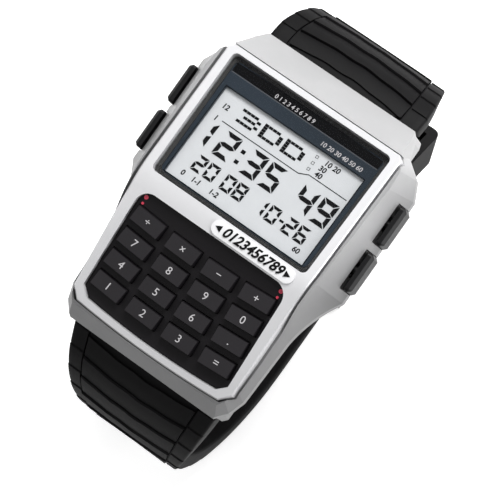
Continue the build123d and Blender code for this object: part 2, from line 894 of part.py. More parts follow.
def make_track(side, depth, heading, run, radius, slant, tail_radius, floor):
    first = math.radians(heading)
    second = math.radians(-slant)
    shoulder_z = level(depth) + run * math.sin(first)
    if slant > 90:
        drop = radius * (math.cos(first) - math.cos(second))
        bow = tail_radius * (1 + math.cos(second))
        slope = shoulder_z - drop - bow - floor
        middle = ("line", slope / -math.sin(second))
        end = ("arc", tail_radius, 180 - slant)
    else:
        drop = radius * math.cos(first)
        middle = ("line", 0)
        end = ("arc", shoulder_z - drop - floor, 90)
    parts = [("line", run), ("arc", radius, slant + heading), middle, end, ("line", overrun)]
    return {"side": side, "start": (strap_start_y, level(depth)), "heading": heading, "parts": parts}


def ramp_start_y():
    return crossbar_y - crossbar_length / 2 - loose_gap - ramp_length


def lower_shoulder_radius():
    turn = math.radians(lower_heading)
    rise = level(strap_down_depth) - strap_start_y - ramp_start_y() + foot_length
    return (rise - lower_shoulder_run * (math.cos(turn) - math.sin(turn))) / (1 + math.sin(turn) + math.cos(turn))


upper_track = make_track(1, strap_up_depth, upper_heading, upper_shoulder_run, upper_shoulder_radius,
                         180 - upper_slant, upper_bow_radius, strap_track_floor)
lower_track = make_track(-1, strap_down_depth, lower_heading, lower_shoulder_run,
                         lower_shoulder_radius(), 90, 0, 0)


def part_length(part):
    return part[1] if part[0] == "line" else part[1] * math.radians(part[2])


def joints_of(track):
    places = [0]
    for part in track["parts"]:
        places.append(places[-1] + part_length(part))
    return places


def track_point(track, s, offset):
    y, z = track["start"]
    heading = math.radians(track["heading"])
    left = s
    for part in track["parts"]:
        step = min(left, part_length(part))
        if part[0] == "line":
            y += step * math.cos(heading)
            z += step * math.sin(heading)
        elif step > 0:
            turn = step / part[1]
            y += part[1] * (math.sin(heading) - math.sin(heading - turn))
            z += part[1] * (math.cos(heading - turn) - math.cos(heading))
            heading -= turn
        left -= step
    return (track["side"] * (y - offset * math.sin(heading)), z + offset * math.cos(heading))


def track_heading(track, s):
    heading = track["heading"]
    left = s
    for part in track["parts"]:
        step = min(left, part_length(part))
        if part[0] == "arc" and step > 0:
            heading -= math.degrees(step / part[1])
        left -= step
    return heading


def track_edges(track, nodes):
    places = joints_of(track)
    edges = []
    for (s_from, d_from), (s_to, d_to) in zip(nodes, nodes[1:]):
        cuts = sorted({s_from, s_to} | {s for s in places if min(s_from, s_to) < s < max(s_from, s_to)})
        if s_to < s_from:
            cuts = cuts[::-1]
        if s_from == s_to:
            edges.append(Line(track_point(track, s_from, d_from), track_point(track, s_to, d_to)))
        for a, b in zip(cuts, cuts[1:]):
            d_a = d_from + (d_to - d_from) * (a - s_from) / (s_to - s_from)
            d_b = d_from + (d_to - d_from) * (b - s_from) / (s_to - s_from)
            start = track_point(track, a, d_a)
            end = track_point(track, b, d_b)
            middle = track_point(track, (a + b) / 2, (d_a + d_b) / 2)
            sag = math.dist(start, middle) + math.dist(middle, end) - math.dist(start, end)
            if sag < math.dist(start, end) / overrun ** 2:
                edges.append(Line(start, end))
            else:
                edges.append(ThreePointArc(start, middle, end))
    return edges


def flat_place(track, y):
    places = joints_of(track)
    flat_start = places[-2]
    return flat_start + track["side"] * (track_point(track, flat_start, 0)[0] - y)


def scale_nodes(count, end):
    nodes = [(0, 0), (scale_start, 0)]
    for index in range(count):
        s = scale_start + index * scale_pitch
        nodes += [(s, scale_rise), (s + scale_pitch, scale_low)]
    return nodes + [end]


def taper_prism():
    points = [
        (strap_half_width, face_height),
        (strap_half_width, level(strap_taper_start)),
        (strap_end_half_width, level(strap_taper_end)),
        (strap_end_half_width, -overrun),
    ]
    face = polygon(points + [(-x, z) for x, z in reversed(points)])
    return extrude(Plane.XZ * face, amount=overrun, both=True)


def between_lugs(strap):
    for x_side in (1, -1):
        x_low, x_high = sorted((x_side * strap_lug_half_width, x_side * overrun))
        strap -= block(x_low, x_high, -strap_slot_y, strap_slot_y, 0, face_height)
    return strap


def free_keeper_place():
    return joints_of(upper_track)[3] - keeper_free_lift - keeper_free_length


def make_upper_strap():
    end = flat_place(upper_track, bar_y)
    thin = free_keeper_place() - thin_lead
    outer = scale_nodes(upper_scale_count, (thin, scale_low)) + [(thin + scale_low, 0), (end, 0)]
    inner = [(end, -strap_thin), (thin, -strap_thin), (scale_start, -strap_thickness), (0, -strap_thickness)]
    edges = track_edges(upper_track, outer)
    edges += [Line(track_point(upper_track, end, 0), track_point(upper_track, end, -strap_thin))]
    edges += track_edges(upper_track, inner)
    edges += [Line(track_point(upper_track, 0, -strap_thickness), track_point(upper_track, 0, 0))]
    strap = extrude(Plane.YZ * make_face(edges), amount=strap_half_width, both=True)
    strap &= taper_prism()
    strap += rod_x(strap_boss_radius, -strap_lug_half_width, strap_lug_half_width,
                   spring_bar_y, level(spring_bar_up_depth))
    strap += rod_x(bar_boss_radius, -strap_end_half_width, strap_end_half_width, bar_y, pin_z)
    strap = between_lugs(strap)
    strap -= rod_x(spring_bar_radius + running_gap, -overrun, overrun, spring_bar_y, level(spring_bar_up_depth))
    strap -= rod_x(pin_radius + running_gap, -overrun, overrun, bar_y, pin_z)
    slot = tongue_half_width + soft_gap
    room = tongue_eye_radius + soft_gap
    strap -= block(-slot, slot, -overrun, bar_y + room, 0, pin_z + overrun / 2) - block(
        -slot, slot, -overrun, -bar_y, -overrun, overrun)
    return strap


pin_z = strap_track_floor + bar_boss_radius


def make_lower_strap():
    flat_y = crossbar_y - crossbar_length / 2 - loose_gap
    ramp_y = ramp_start_y()
    tail_join = flat_place(upper_track, flat_y)
    tail_end = free_keeper_place() + tail_in_keeper
    own_end = flat_place(lower_track, ramp_y)
    own_outer = scale_nodes(lower_scale_count, (joints_of(lower_track)[-2], 0)) + [(own_end, 0)]
    own_inner = [(own_end, -tail_thickness), (joints_of(lower_track)[-2], -strap_thin),
                 (scale_start, -strap_thickness), (0, -strap_thickness)]
    edges = track_edges(lower_track, own_outer)
    edges += [Line(track_point(lower_track, own_end, 0), track_point(upper_track, tail_join, tail_track_offset))]
    edges += track_edges(upper_track, [(tail_join, tail_track_offset), (tail_end, tail_track_offset)])
    edges += track_edges(upper_track, [(tail_end, tail_track_offset), (tail_end, soft_gap)])
    edges += track_edges(upper_track, [(tail_end, soft_gap), (tail_join, soft_gap)])
    edges += [Line(track_point(upper_track, tail_join, soft_gap), track_point(lower_track, own_end, -tail_thickness))]
    edges += track_edges(lower_track, own_inner)
    edges += [Line(track_point(lower_track, 0, -strap_thickness), track_point(lower_track, 0, 0))]
    strap = extrude(Plane.YZ * make_face(edges), amount=strap_half_width, both=True)
    strap &= taper_prism()
    strap += rod_x(strap_boss_radius, -strap_lug_half_width, strap_lug_half_width,
                   -spring_bar_y, level(spring_bar_down_depth))
    strap = between_lugs(strap)
    strap -= rod_x(spring_bar_radius + running_gap, -overrun, overrun, -spring_bar_y, level(spring_bar_down_depth))
    strap -= block(-tongue_hole_half_width, tongue_hole_half_width, tongue_hole_start, tongue_hole_end,
                   0, strap_track_floor)
    for index in range(-1, hole_count + 1):
        if index == 0:
            continue
        s = flat_place(upper_track, (tongue_hole_start + tongue_hole_end) / 2 + index * hole_pitch)
        y, z = track_point(upper_track, s, tail_track_offset / 2)
        drill = Rot(track_heading(upper_track, s), 0, 0) * Cylinder(hole_radius, tail_track_offset * 2)
        strap -= Pos(0, y, z) * drill
    return strap


def make_spring_bars():
    bars = []
    for y_side, depth in spring_bar_depths().items():
        y = y_side * spring_bar_y
        reach = strap_lug_half_width + seat_gap
        tip_reach = lug_inner_half_width + spring_bar_tip
        bar = rod_x(spring_bar_radius, -reach, reach, y, level(depth))
        bar += rod_x(spring_bar_tip_radius, -tip_reach, tip_reach, y, level(depth))
        bars.append(bar)
    return bars


# Buckle and keepers

arm_inner = strap_end_half_width + soft_gap + seat_gap
arm_outer = arm_inner + arm_thickness


def make_buckle_frame():
    far_y = crossbar_y - crossbar_length / 2
    near_y = crossbar_y + crossbar_length / 2
    arm_line = [
        (bar_y, pin_z + arm_radius),
        (bar_y, pin_z - arm_radius),
        (near_y, crossbar_clear),
        (far_y, crossbar_clear),
        (far_y, crossbar_height),
    ]
    frame = block(-arm_outer, arm_outer, far_y, near_y, crossbar_clear, crossbar_height)
    slab = extrude(Plane.YZ * polygon(arm_line), amount=arm_outer, both=True)
    slab -= extrude(Plane.YZ * polygon(arm_line), amount=arm_inner, both=True)
    frame += slab
    eye = arm_radius + pin_radius
    for x_low in (-arm_outer, arm_inner):
        frame += rod_x(eye, x_low, x_low + arm_thickness, bar_y, pin_z)
    frame -= rod_x(pin_radius + running_gap, -overrun, overrun, bar_y, pin_z)
    notch = tongue_half_width + loose_gap
    notch_top = crossbar_clear + tongue_thickness + loose_gap
    frame -= block(-notch, notch, far_y - crossbar_length, near_y + crossbar_length, 0, notch_top)
    return frame


def make_buckle_pin():
    return rod_x(pin_radius, -arm_outer, arm_outer, bar_y, pin_z)


def make_tongue():
    width = tongue_half_width
    shank_near = bar_y - tongue_eye_radius - running_gap
    shank_far = shank_near - tongue_thickness
    tip_y = crossbar_y - crossbar_length / 2 + loose_gap
    low = crossbar_clear
    high = low + tongue_thickness
    side_line = [
        (bar_y, pin_z + tongue_eye_radius),
        (shank_far, pin_z + tongue_eye_radius / 2),
        (shank_far, high + tongue_thickness / 2),
        (shank_far - tongue_thickness / 2, high),
        (tip_y, high),
        (tip_y, low + tongue_thickness / 2),
        (tip_y + tongue_thickness / 2, low),
        (shank_near - tongue_thickness / 2, low),
        (shank_near, low + tongue_thickness / 2),
        (shank_near, pin_z - tongue_eye_radius / 2),
        (bar_y, pin_z - tongue_eye_radius / 2),
    ]
    tongue = side_prism(side_line, width)
    tongue += rod_x(tongue_eye_radius, -width, width, bar_y, pin_z)
    tongue -= rod_x(pin_radius + running_gap, -overrun, overrun, bar_y, pin_z)
    return tongue


def loop_over(s_low, s_high, outer_offset, inner_offset):
    inner = [track_point(upper_track, s, d) for s, d in (
        (s_low - keeper_wall, outer_offset), (s_high + keeper_wall, outer_offset),
        (s_high + keeper_wall, inner_offset), (s_low - keeper_wall, inner_offset))]
    outer_high = outer_offset + keeper_wall
    inner_low = inner_offset - keeper_inner_wall
    outer = [track_point(upper_track, s, d) for s, d in (
        (s_low, outer_high), (s_high, outer_high), (s_high, inner_low), (s_low, inner_low))]
    half_room = strap_end_half_width + soft_gap
    body = side_prism(outer, half_room + keeper_wall)
    along = [e for e in body.edges() if abs(abs(e.center().X) - half_room - keeper_wall) < seat_gap]
    spans = [math.dist(outer[0], outer[1]), math.dist(outer[2], outer[3])]
    body = fillet([e for e in along if min(abs(e.length - span) for span in spans) < seat_gap],
                  radius=keeper_inner_wall)
    return body - side_prism(inner, half_room)


def make_fixed_keeper():
    s_low = flat_place(upper_track, bar_y) - keeper_bar_lead - keeper_fixed_length
    room = tail_track_offset + soft_gap
    return loop_over(s_low, s_low + keeper_fixed_length, room, -strap_thin - soft_gap)


def make_free_keeper():
    s_low = free_keeper_place()
    room = tail_track_offset + soft_gap
    return loop_over(s_low, s_low + keeper_free_length, room, -strap_thickness - soft_gap)


# Nodes

nodes = {
    "case_body": [make_case()],
    "front_bezel": [make_bezel()],
    "number_plate": [make_number_plate()],
    "display_crystal": [make_crystal()],
    "crystal_gasket": [make_crystal_gasket()],
    "display_frame": [make_display_mask()],
    "lcd_cell": [make_lcd()],
    "light_panel": [make_light_panel()],
    "connector_strips": make_connector_strips(),
    "keypad_plate": [make_keypad_plate()],
    "signal_dots": make_signal_dots(),
    "keypad_membrane": [make_keypad_mat()],
    "key_board": [make_key_board()],
    "circuit_board": [make_circuit_board()],
    "processor_chip": [make_chip()],
    "quartz_crystal": [make_quartz_can()],
    "battery_cell": [make_battery()],
    "battery_clip": [make_battery_clip()],
    "module_holder": [make_module_holder()],
    "buzzer_disc": [make_buzzer()],
    "buzzer_spring": [make_buzzer_spring()],
    "back_gasket": [make_back_gasket()],
    "case_back": [make_case_back()],
    "back_screws": make_back_screws(),
    "pusher_seals": make_pusher_seals(),
    "strap_upper": [make_upper_strap()],
    "strap_lower": [make_lower_strap()],
    "spring_bars": make_spring_bars(),
    "buckle_frame": [make_buckle_frame()],
    "buckle_pin": [make_buckle_pin()],
    "buckle_tongue": [make_tongue()],
    "strap_keeper_fixed": [make_fixed_keeper()],
    "strap_keeper_free": [make_free_keeper()],
}
for name, site in key_sites():
    nodes["key_" + name] = [make_key(site)]
corner_names = ["upper_left", "upper_right", "lower_left", "lower_right"]
for corner, (side, y) in zip(corner_names, pusher_sites()):
    nodes["pusher_" + corner] = [make_pusher(side, y)]
    nodes["pusher_clip_" + corner] = [make_pusher_clip(side, y)]
nodes["pusher_springs"] = [make_pusher_spring(side, y) for side, y in pusher_sites()]

os.makedirs("parts", exist_ok=True)
for name, solids in nodes.items():
    shape = solids[0] if len(solids) == 1 else Compound(children=solids)
    shape.label = name
    export_step(shape, os.path.join("parts", name + ".step"))
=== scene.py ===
import json
import math

import bmesh
import bpy
from mathutils import Matrix, Vector


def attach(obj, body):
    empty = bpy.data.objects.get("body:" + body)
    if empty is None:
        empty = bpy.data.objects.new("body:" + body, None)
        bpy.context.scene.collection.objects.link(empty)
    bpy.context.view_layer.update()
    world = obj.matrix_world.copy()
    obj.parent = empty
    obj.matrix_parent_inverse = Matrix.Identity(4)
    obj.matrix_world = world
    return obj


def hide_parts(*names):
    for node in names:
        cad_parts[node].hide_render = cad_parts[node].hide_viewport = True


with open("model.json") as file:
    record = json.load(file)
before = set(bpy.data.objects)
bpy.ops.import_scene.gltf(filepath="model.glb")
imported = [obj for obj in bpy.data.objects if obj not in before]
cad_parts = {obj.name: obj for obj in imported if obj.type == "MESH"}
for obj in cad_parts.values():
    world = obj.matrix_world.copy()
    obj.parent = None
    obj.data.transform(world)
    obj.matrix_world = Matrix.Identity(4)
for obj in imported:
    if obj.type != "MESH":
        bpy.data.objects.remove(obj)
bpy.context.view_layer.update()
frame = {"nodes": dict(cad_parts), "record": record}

# Calculator watch, +X to 3 o'clock and +Y to 12 o'clock: sizes in millimetres, and metres in the meshes.
MM = 0.001

# Frame of the part
FACE_HEIGHT = 46.0
RIDGE_Y = -2.3
DISPLAY_TILT = math.radians(4.0)
KEYPAD_TILT = math.radians(13.0)

# Camera, as fitted to the photograph: three turns, distance, pixels per millimetre at the face, and the
# place in the picture where the middle of the ridge falls
VIEW_SIDE = math.radians(14.54)
VIEW_LOW = math.radians(1.54)
VIEW_ROLL = math.radians(35.29)
VIEW_DISTANCE = 450.0
VIEW_SCALE = 7.347
VIEW_CENTRE = (230.7, 215.5)
IMAGE_SIZE = 500
SENSOR = 36.0
CLIP_RANGE = (0.01, 10.0)

# Studio: places and sizes of floor and lights in metres
AMBIENT = 0.30
FLOOR_LIFT = 0.45
FLOOR_HALF = 1.5
FLOOR_CELLS = 24
LIGHT_AIM = (0, 0, 0.04)
LIGHTS = [
    {"name": "key_light", "where": (0.02, 0.42, 0.46), "size": (0.30, 0.30), "power": 4.2},
    {"name": "side_light", "where": (0.46, 0.10, 0.22), "size": (0.20, 0.40), "power": 1.8},
    {"name": "fill_light", "where": (-0.40, -0.10, 0.40), "size": (0.40, 0.40), "power": 0.8},
]

# Surfaces: what all the paints share, and how far from the middle the painted shade on the case's sides
# begins and ends
COAT_ROUGH = 0.12
BROAD_DETAIL = 4.0
BROAD_ROUGHNESS = 0.6
BROAD_RANGE = (0.3, 0.7)
FINE_DETAIL = 3.0
FINE_ROUGHNESS = 0.7
LEAST_ROUGH = 0.02
BUMP_DEPTH = 0.02
PAINTED_SIDE_SHADE = (15.0, 18.4)
CRYSTAL_ALPHA = 0.035

# Display: layers below the face, and the edges of what is printed on them
LCD_DROP = 1.7
LCD_HALF_WIDTH = 11.8
LCD_TOP = 14.5
LCD_BOTTOM = 0.1
MASK_DROP = 1.16
WINDOW_HALF_WIDTH = 12.5
WINDOW_BOTTOM = -0.9
BAND_TOP = 18.3
BAND_BOTTOM = 16.7
BAND_BULGE = 0.25
BAND_STEPS = 8
# Width of the painted highlight line along the lower edge of the window's band
BAND_HIGHLIGHT_WIDTH = 0.14
FRAME_LINE = 0.09
FRAME_GAP_X = 0.05
FRAME_GAP_Y = 0.04
INK = 0.02
LETTER_STEPS = 4

# Display figures: each row gives its text and the left edge of every digit
TIME_SIZE = {"width": 2.6, "height": 3.9, "bar": 0.64, "gap": 0.09}
TIME_Y = 5.75
TIME_FIGURES = [("12", (-12.05, -8.1)), ("35", (-3.45, -0.3)), ("49", (5.35, 8.55))]
DATE_SIZE = {"width": 1.7, "height": 2.45, "bar": 0.42, "gap": 0.07}
DATE_Y = 2.3
DATE_FIGURES = [("20", (-9.25, -7.2)), ("08", (-4.3, -2.3)), ("10", (1.2, 3.35)), ("26", (6.25, 8.3))]
FIGURE_LEAN = 0.035
COLON_X = (-4.72, -4.08)
COLON_ROWS = (6.4, 8.05)
COLON_HEIGHT = 0.55
DASH_X = (5.42, 6.1)
DASH_Y = (3.32, 3.66)
DOT_FIGURES = ("300", (-8.0, -4.2, -0.42))
DOT_TOP = 13.4
DOT_STEP_X = 0.67
DOT_STEP_Y = 0.43
DOT_SHARE = 0.93
RULE_X = (-9.5, 3.65, 5.05, 11.4)
RULE_Y = (10.16, 10.8)
RULE_LINE = 0.12
RULE_MITRE = 0.05
BOX_X = 4.45
BOX_ROWS = (13.52, 12.5, 11.5)
BOX_HALF = 0.22
BOX_LINE = 0.06
# Small marks on the display: text and centre
MARKS = [("12", -10.25, 12.1), ("1", -10.5, 10.1), ("10 20", 7.05, 13.5), ("30", 6.1, 12.5),
         ("40", 6.1, 11.5), ("0", -9.65, 1.3), ("1-1", -7.4, 1.3), ("1-2", -4.35, 1.3), ("60", 9.75, 1.35)]
MARK_SIZE = 1.1
MARK_LEAN = 0.1
MARK_BOLD = 0.03

# Window and plate figures: piece name, text, centre and size
WINDOW_FIGURES = [("band_figures", "0 1 2 3 4 5 6 7 8 9", -2.0, 17.2, 0.9),
                  ("frame_figures", "10 20 30 40 50 60", 7.3, 15.35, 0.95)]
WINDOW_FIGURE_BOLD = 0.015
PLATE_X = 5.5
PLATE_RISE = 0.235
PLATE_FIGURE_SIZE = 2.0
PLATE_LEAN = 0.28
PLATE_BOLD = 0.06
ARROW_REACH = 6.35
ARROW_LENGTH = 0.95
ARROW_HALF = 0.5

# Keypad
KEYPAD_TOP = -3.7
KEYPAD_DROP = 0.7
KEY_PITCH_X = 6.25
KEY_PITCH_Y = 3.43
KEY_ROW_Y = -7.6
KEY_ARC_RADIUS = 135.0
KEY_HEIGHT = 2.35
KEY_RISE_LOW = 1.05
KEY_RISE_HIGH = 0.5
KEY_ROWS = [["divide", "times", "minus", "plus"], ["7", "8", "9", "0"], ["4", "5", "6", "point"],
            ["1", "2", "3", "equals"]]
LEGENDS = {"divide": "÷", "times": "×", "minus": "−", "plus": "+", "point": ".", "equals": "="}
LEGEND_SIZE = 1.6

# Strap halves: widths narrow with the depth below the face
STRAP_START_Y = 22.6
STRAP_HALF_WIDTH = 12.7
STRAP_END_HALF_WIDTH = 8.0
STRAP_LUG_HALF_WIDTH = 11.0
STRAP_SLOT_Y = 24.6
LOWER_SLOT_SHIFT = 0.7
SLOT_BLEND = 0.3
TAPER_START = 9.0
TAPER_END = 27.0
STRAP_THICK = 2.7
STRAP_THIN = 2.1
TAIL_THICK = 1.9
LAYER_GAP = 0.25
TRACK_FLOOR = 3.9
FLAT_RUN = 60.0
EDGE_ROUND = 0.40
INNER_ROUND_SHARE = 0.7

# Strap ribs: distance of the first one along the track, pitch and count
UPPER_RIBS = (1.9, 2.7, 7)
LOWER_RIBS = (2.3, 3.7, 9)
RIB_RISE = 0.45
RIB_LOW = 0.12
RIB_SAG = 0.75
RIB_WAVE = 0.10
RIB_WAVE_TURNS = 11.0
RIB_SLOPE_POWER = 0.7
RIB_STEP_SHARE = 0.03
RIB_DIP_SHARE = 0.94
RIB_DIP = 0.45
RIB_FADE = 1.2
SAG_FADE_IN = 1.5
SAG_FADE_OUT = 3.0
LOWER_RIB_STOP = 2.5
MARGIN = 2.9
MARGIN_SHIFT = 0.45
MARGIN_LOSS_SHARE = 0.55
MARGIN_BLEND = 0.1
LEAST_INNER = 0.5
GROOVE_DEPTH = 0.13
GROOVE_HALF_WIDTH = 0.13

# Strap mesh: where its rows of points stand
MIDDLE_STEPS = 16
MIDDLE_GAP = 0.3
GROOVE_PLACES = (-0.18, -0.12, 0.0, 0.12, 0.18)
MARGIN_STEPS = 3
EDGE_SHARES = (1.0, 0.6, 0.25, 0.08, 0.0)
RIB_SHARES = (0.0, 0.01, 0.03, 0.12, 0.3, 0.5, 0.7, 0.85, 0.935, 0.945, 0.995)
STATION_STEP = 0.5
STATION_LEAST = 0.012
TAIL_STEP = 0.3
RAMP_SHARES = (0.2, 0.4, 0.6, 0.8)
TUBE_STEPS = 40
HOLE_SEGMENTS = 32
WELD = 0.0005
SMOOTH_ANGLE = math.radians(32)

# Strap ends, at the buckle and at the case
BAR_Y = 7.6
BAR_BOSS = 1.5
BAR_BORE = 0.75
BAR_ROOM = 0.9
BAR_ROOM_HALF_WIDTH = 12.0
CROSSBAR_Y = 0.1
CROSSBAR_HALF = 0.75
CROSSBAR_CLEAR = 0.15
RAMP_LENGTH = 2.6
SLOT_HALF_WIDTH = 1.05
SLOT_LOW_Y = 1.0
SLOT_PAST_BAR = 1.45
CUT_BOTTOM = 2.0
CUT_TOP = 9.0
TONGUE_HOLE = (4.75, 7.8)
TONGUE_HOLE_HALF_WIDTH = 1.15
TONGUE_HOLE_BOTTOM = 0.5
TONGUE_HOLE_GAP = 0.02
HOLE_PITCH = 4.6
HOLE_STEPS = (-1, 1, 2, 3)
HOLE_RADIUS = 0.9
HOLE_OVERRUN = 0.2
KEEPER_LIFT = 1.22
KEEPER_LENGTH = 6.4
THIN_LEAD = 0.71
TAIL_IN_KEEPER = 1.8
TIP_LENGTH = 3.0
TIP_SHARE = 0.72
LUG_TUBE_Y = 21.9
UPPER_LUG_DEPTH = 9.2
LOWER_LUG_DEPTH = 10.45
LUG_TUBE_RADIUS = 1.45
LUG_TUBE_BORE = 0.8


def level(depth):
    return FACE_HEIGHT - depth


def smooth(value):
    """Rises from 0 to 1 without a kink, and stays level outside."""
    value = min(1.0, max(0.0, value))
    return value * value * (3 - 2 * value)


def spread(low, high, step):
    """Even places from low to high, no further apart than step."""
    count = max(1, math.ceil((high - low) / step))
    return [low + (high - low) * i / count for i in range(count + 1)]


# Materials

def node_of(tree, kind, **sockets):
    node = tree.nodes.new(kind)
    for key, value in sockets.items():
        node.inputs[key.replace("_", " ")].default_value = value
    return node


def math_of(tree, operation, *sources):
    """The result of a Math node; each source is an output to link or a plain number."""
    node = tree.nodes.new("ShaderNodeMath")
    node.operation = operation
    for place, source in zip(node.inputs, sources):
        if isinstance(source, float):
            place.default_value = source
        else:
            tree.links.new(source, place)
    return node.outputs["Value"]


def range_of(tree, source, to_low, to_high, from_low=0.0, from_high=1.0):
    node = node_of(tree, "ShaderNodeMapRange", From_Min=from_low, From_Max=from_high, To_Min=to_low,
                   To_Max=to_high)
    tree.links.new(source, node.inputs["Value"])
    return node.outputs["Result"]


def varied_colour(tree, noise, colour, vary):
    """The colour, a little darker and lighter by the noise."""
    ramp = tree.nodes.new("ShaderNodeValToRGB")
    for stop, position, share in zip(ramp.color_ramp.elements, BROAD_RANGE, (1 - vary, 1 + vary)):
        stop.position = position
        stop.color = [min(1, part * share) for part in colour] + [1]
    tree.links.new(noise.outputs["Fac"], ramp.inputs["Fac"])
    return ramp.outputs["Color"]


def surface(name, colour, rough, metallic=0.0, vary=0.08, vary_scale=120.0, grain=9000.0, bump=0.02,
            rough_vary=0.06, coat=0.0, specular=0.5, stretch=(1, 1, 1)):
    """A paint whose colour drifts slowly and whose roughness and relief follow a fine grain."""
    material = bpy.data.materials.new(name)
    material.use_nodes = True
    tree = material.node_tree
    shader = tree.nodes["Principled BSDF"]
    shader.inputs["Metallic"].default_value = metallic
    shader.inputs["Specular IOR Level"].default_value = specular
    shader.inputs["Coat Weight"].default_value = coat
    shader.inputs["Coat Roughness"].default_value = COAT_ROUGH
    place = tree.nodes.new("ShaderNodeTexCoord")
    mapping = node_of(tree, "ShaderNodeMapping", Scale=stretch)
    broad = node_of(tree, "ShaderNodeTexNoise", Scale=vary_scale, Detail=BROAD_DETAIL,
                    Roughness=BROAD_ROUGHNESS)
    fine = node_of(tree, "ShaderNodeTexNoise", Scale=grain, Detail=FINE_DETAIL, Roughness=FINE_ROUGHNESS)
    relief = node_of(tree, "ShaderNodeBump", Strength=bump, Distance=BUMP_DEPTH * MM)
    rough_range = max(LEAST_ROUGH, rough - rough_vary), min(1.0, rough + rough_vary)
    tree.links.new(place.outputs["Object"], mapping.inputs["Vector"])
    tree.links.new(mapping.outputs["Vector"], broad.inputs["Vector"])
    tree.links.new(mapping.outputs["Vector"], fine.inputs["Vector"])
    tree.links.new(fine.outputs["Fac"], relief.inputs["Height"])
    tree.links.new(varied_colour(tree, broad, colour, vary), shader.inputs["Base Color"])
    tree.links.new(range_of(tree, fine.outputs["Fac"], *rough_range), shader.inputs["Roughness"])
    tree.links.new(relief.outputs["Normal"], shader.inputs["Normal"])
    return material


def painted_shade_gradient(material, end_shade_share, low_y, high_y, side_shade_share=1.0):
    """Paints shade into the colour: darker towards the 6 o'clock end and, where asked, out towards the
    sides.
    """
    tree = material.node_tree
    shader = tree.nodes["Principled BSDF"]
    source = shader.inputs["Base Color"].links[0].from_socket
    place = tree.nodes.new("ShaderNodeTexCoord")
    split = tree.nodes.new("ShaderNodeSeparateXYZ")
    scale = tree.nodes.new("ShaderNodeVectorMath")
    scale.operation = "SCALE"
    side_from, side_to = PAINTED_SIDE_SHADE
    tree.links.new(place.outputs["Object"], split.inputs["Vector"])
    along = range_of(tree, split.outputs["Y"], end_shade_share, 1.0, low_y * MM, high_y * MM)
    away = math_of(tree, "ABSOLUTE", split.outputs["X"])
    sides = range_of(tree, away, 1.0, side_shade_share, side_from * MM, side_to * MM)
    tree.links.new(source, scale.inputs[0])
    tree.links.new(math_of(tree, "MULTIPLY", along, sides), scale.inputs["Scale"])
    tree.links.new(scale.outputs["Vector"], shader.inputs["Base Color"])
    return material


def clear_crystal():
    material = surface("crystal", (0.02, 0.022, 0.025), 0.05, vary=0.01, bump=0.0, rough_vary=0.02)
    material.node_tree.nodes["Principled BSDF"].inputs["Alpha"].default_value = CRYSTAL_ALPHA
    return material


# By material slot of the record
MATERIALS = {
    # The case and the bezel get painted shade, darker towards the 6 o'clock end; the case is also painted
    # darker on its sides.
    "case_resin": painted_shade_gradient(
        surface("case_silver", (0.40, 0.40, 0.405), 0.34, metallic=0.35, vary=0.05, grain=14000, bump=0.05),
        end_shade_share=0.40, low_y=-9.0, high_y=10.0, side_shade_share=0.5),
    "bezel_silver": painted_shade_gradient(
        surface("bezel_silver", (0.74, 0.74, 0.755), 0.30, metallic=0.30, vary=0.03, grain=14000, bump=0.04),
        end_shade_share=0.80, low_y=-22.0, high_y=12.0),
    "plate_silver": surface("plate_silver", (0.76, 0.76, 0.77), 0.38, metallic=0.15, vary=0.03, grain=14000,
                            bump=0.03),
    "crystal": clear_crystal(),
    "seal_rubber": surface("seal_rubber", (0.02, 0.02, 0.02), 0.7, grain=7000, bump=0.1),
    "mask_slate": surface("mask_slate", (0.018, 0.026, 0.036), 0.32, vary=0.2, vary_scale=60, bump=0.01,
                          specular=0.25),
    "lcd_glass": surface("lcd_ground", (0.54, 0.555, 0.57), 0.5, vary=0.02, vary_scale=300, bump=0.01,
                         specular=0.2),
    "panel_white": surface("panel_white", (0.75, 0.80, 0.75), 0.5),
    "keypad_black": surface("keypad_black", (0.0050, 0.0042, 0.0052), 0.5, vary=0.15, grain=6000, bump=0.10,
                            specular=0.2),
    "dot_red": surface("dot_red", (0.50, 0.035, 0.07), 0.25, vary=0.06, coat=0.4),
    "board_green": surface("board_green", (0.02, 0.12, 0.05), 0.4, vary=0.2, vary_scale=900),
    "chip_black": surface("chip_black", (0.01, 0.01, 0.01), 0.6, grain=9000, bump=0.1),
    "plated_steel": surface("plated_steel", (0.62, 0.62, 0.62), 0.28, metallic=1.0, grain=5000,
                            stretch=(1, 12, 12)),
    "holder_white": surface("holder_white", (0.70, 0.70, 0.66), 0.55),
    "brass_sheet": surface("brass_sheet", (0.70, 0.50, 0.20), 0.3, metallic=1.0, vary=0.1),
    "back_steel": surface("back_steel", (0.60, 0.60, 0.61), 0.30, metallic=1.0, vary=0.05, grain=6000,
                          bump=0.12, stretch=(1, 14, 1)),
    "strap_resin": surface("strap_resin", (0.0034, 0.0032, 0.0036), 0.55, vary=0.15, vary_scale=90,
                           grain=8000, bump=0.10, specular=0.12),
    "buckle_black": surface("buckle_black", (0.014, 0.014, 0.014), 0.35, metallic=0.4),
    "key_dark": surface("key_dark", (0.0105, 0.0092, 0.0110), 0.42, vary=0.12, grain=7000, bump=0.06,
                        specular=0.30),
    "pusher_dark": surface("pusher_dark", (0.0065, 0.0065, 0.007), 0.40, vary=0.1, grain=7000, bump=0.04,
                           specular=0.2),
}
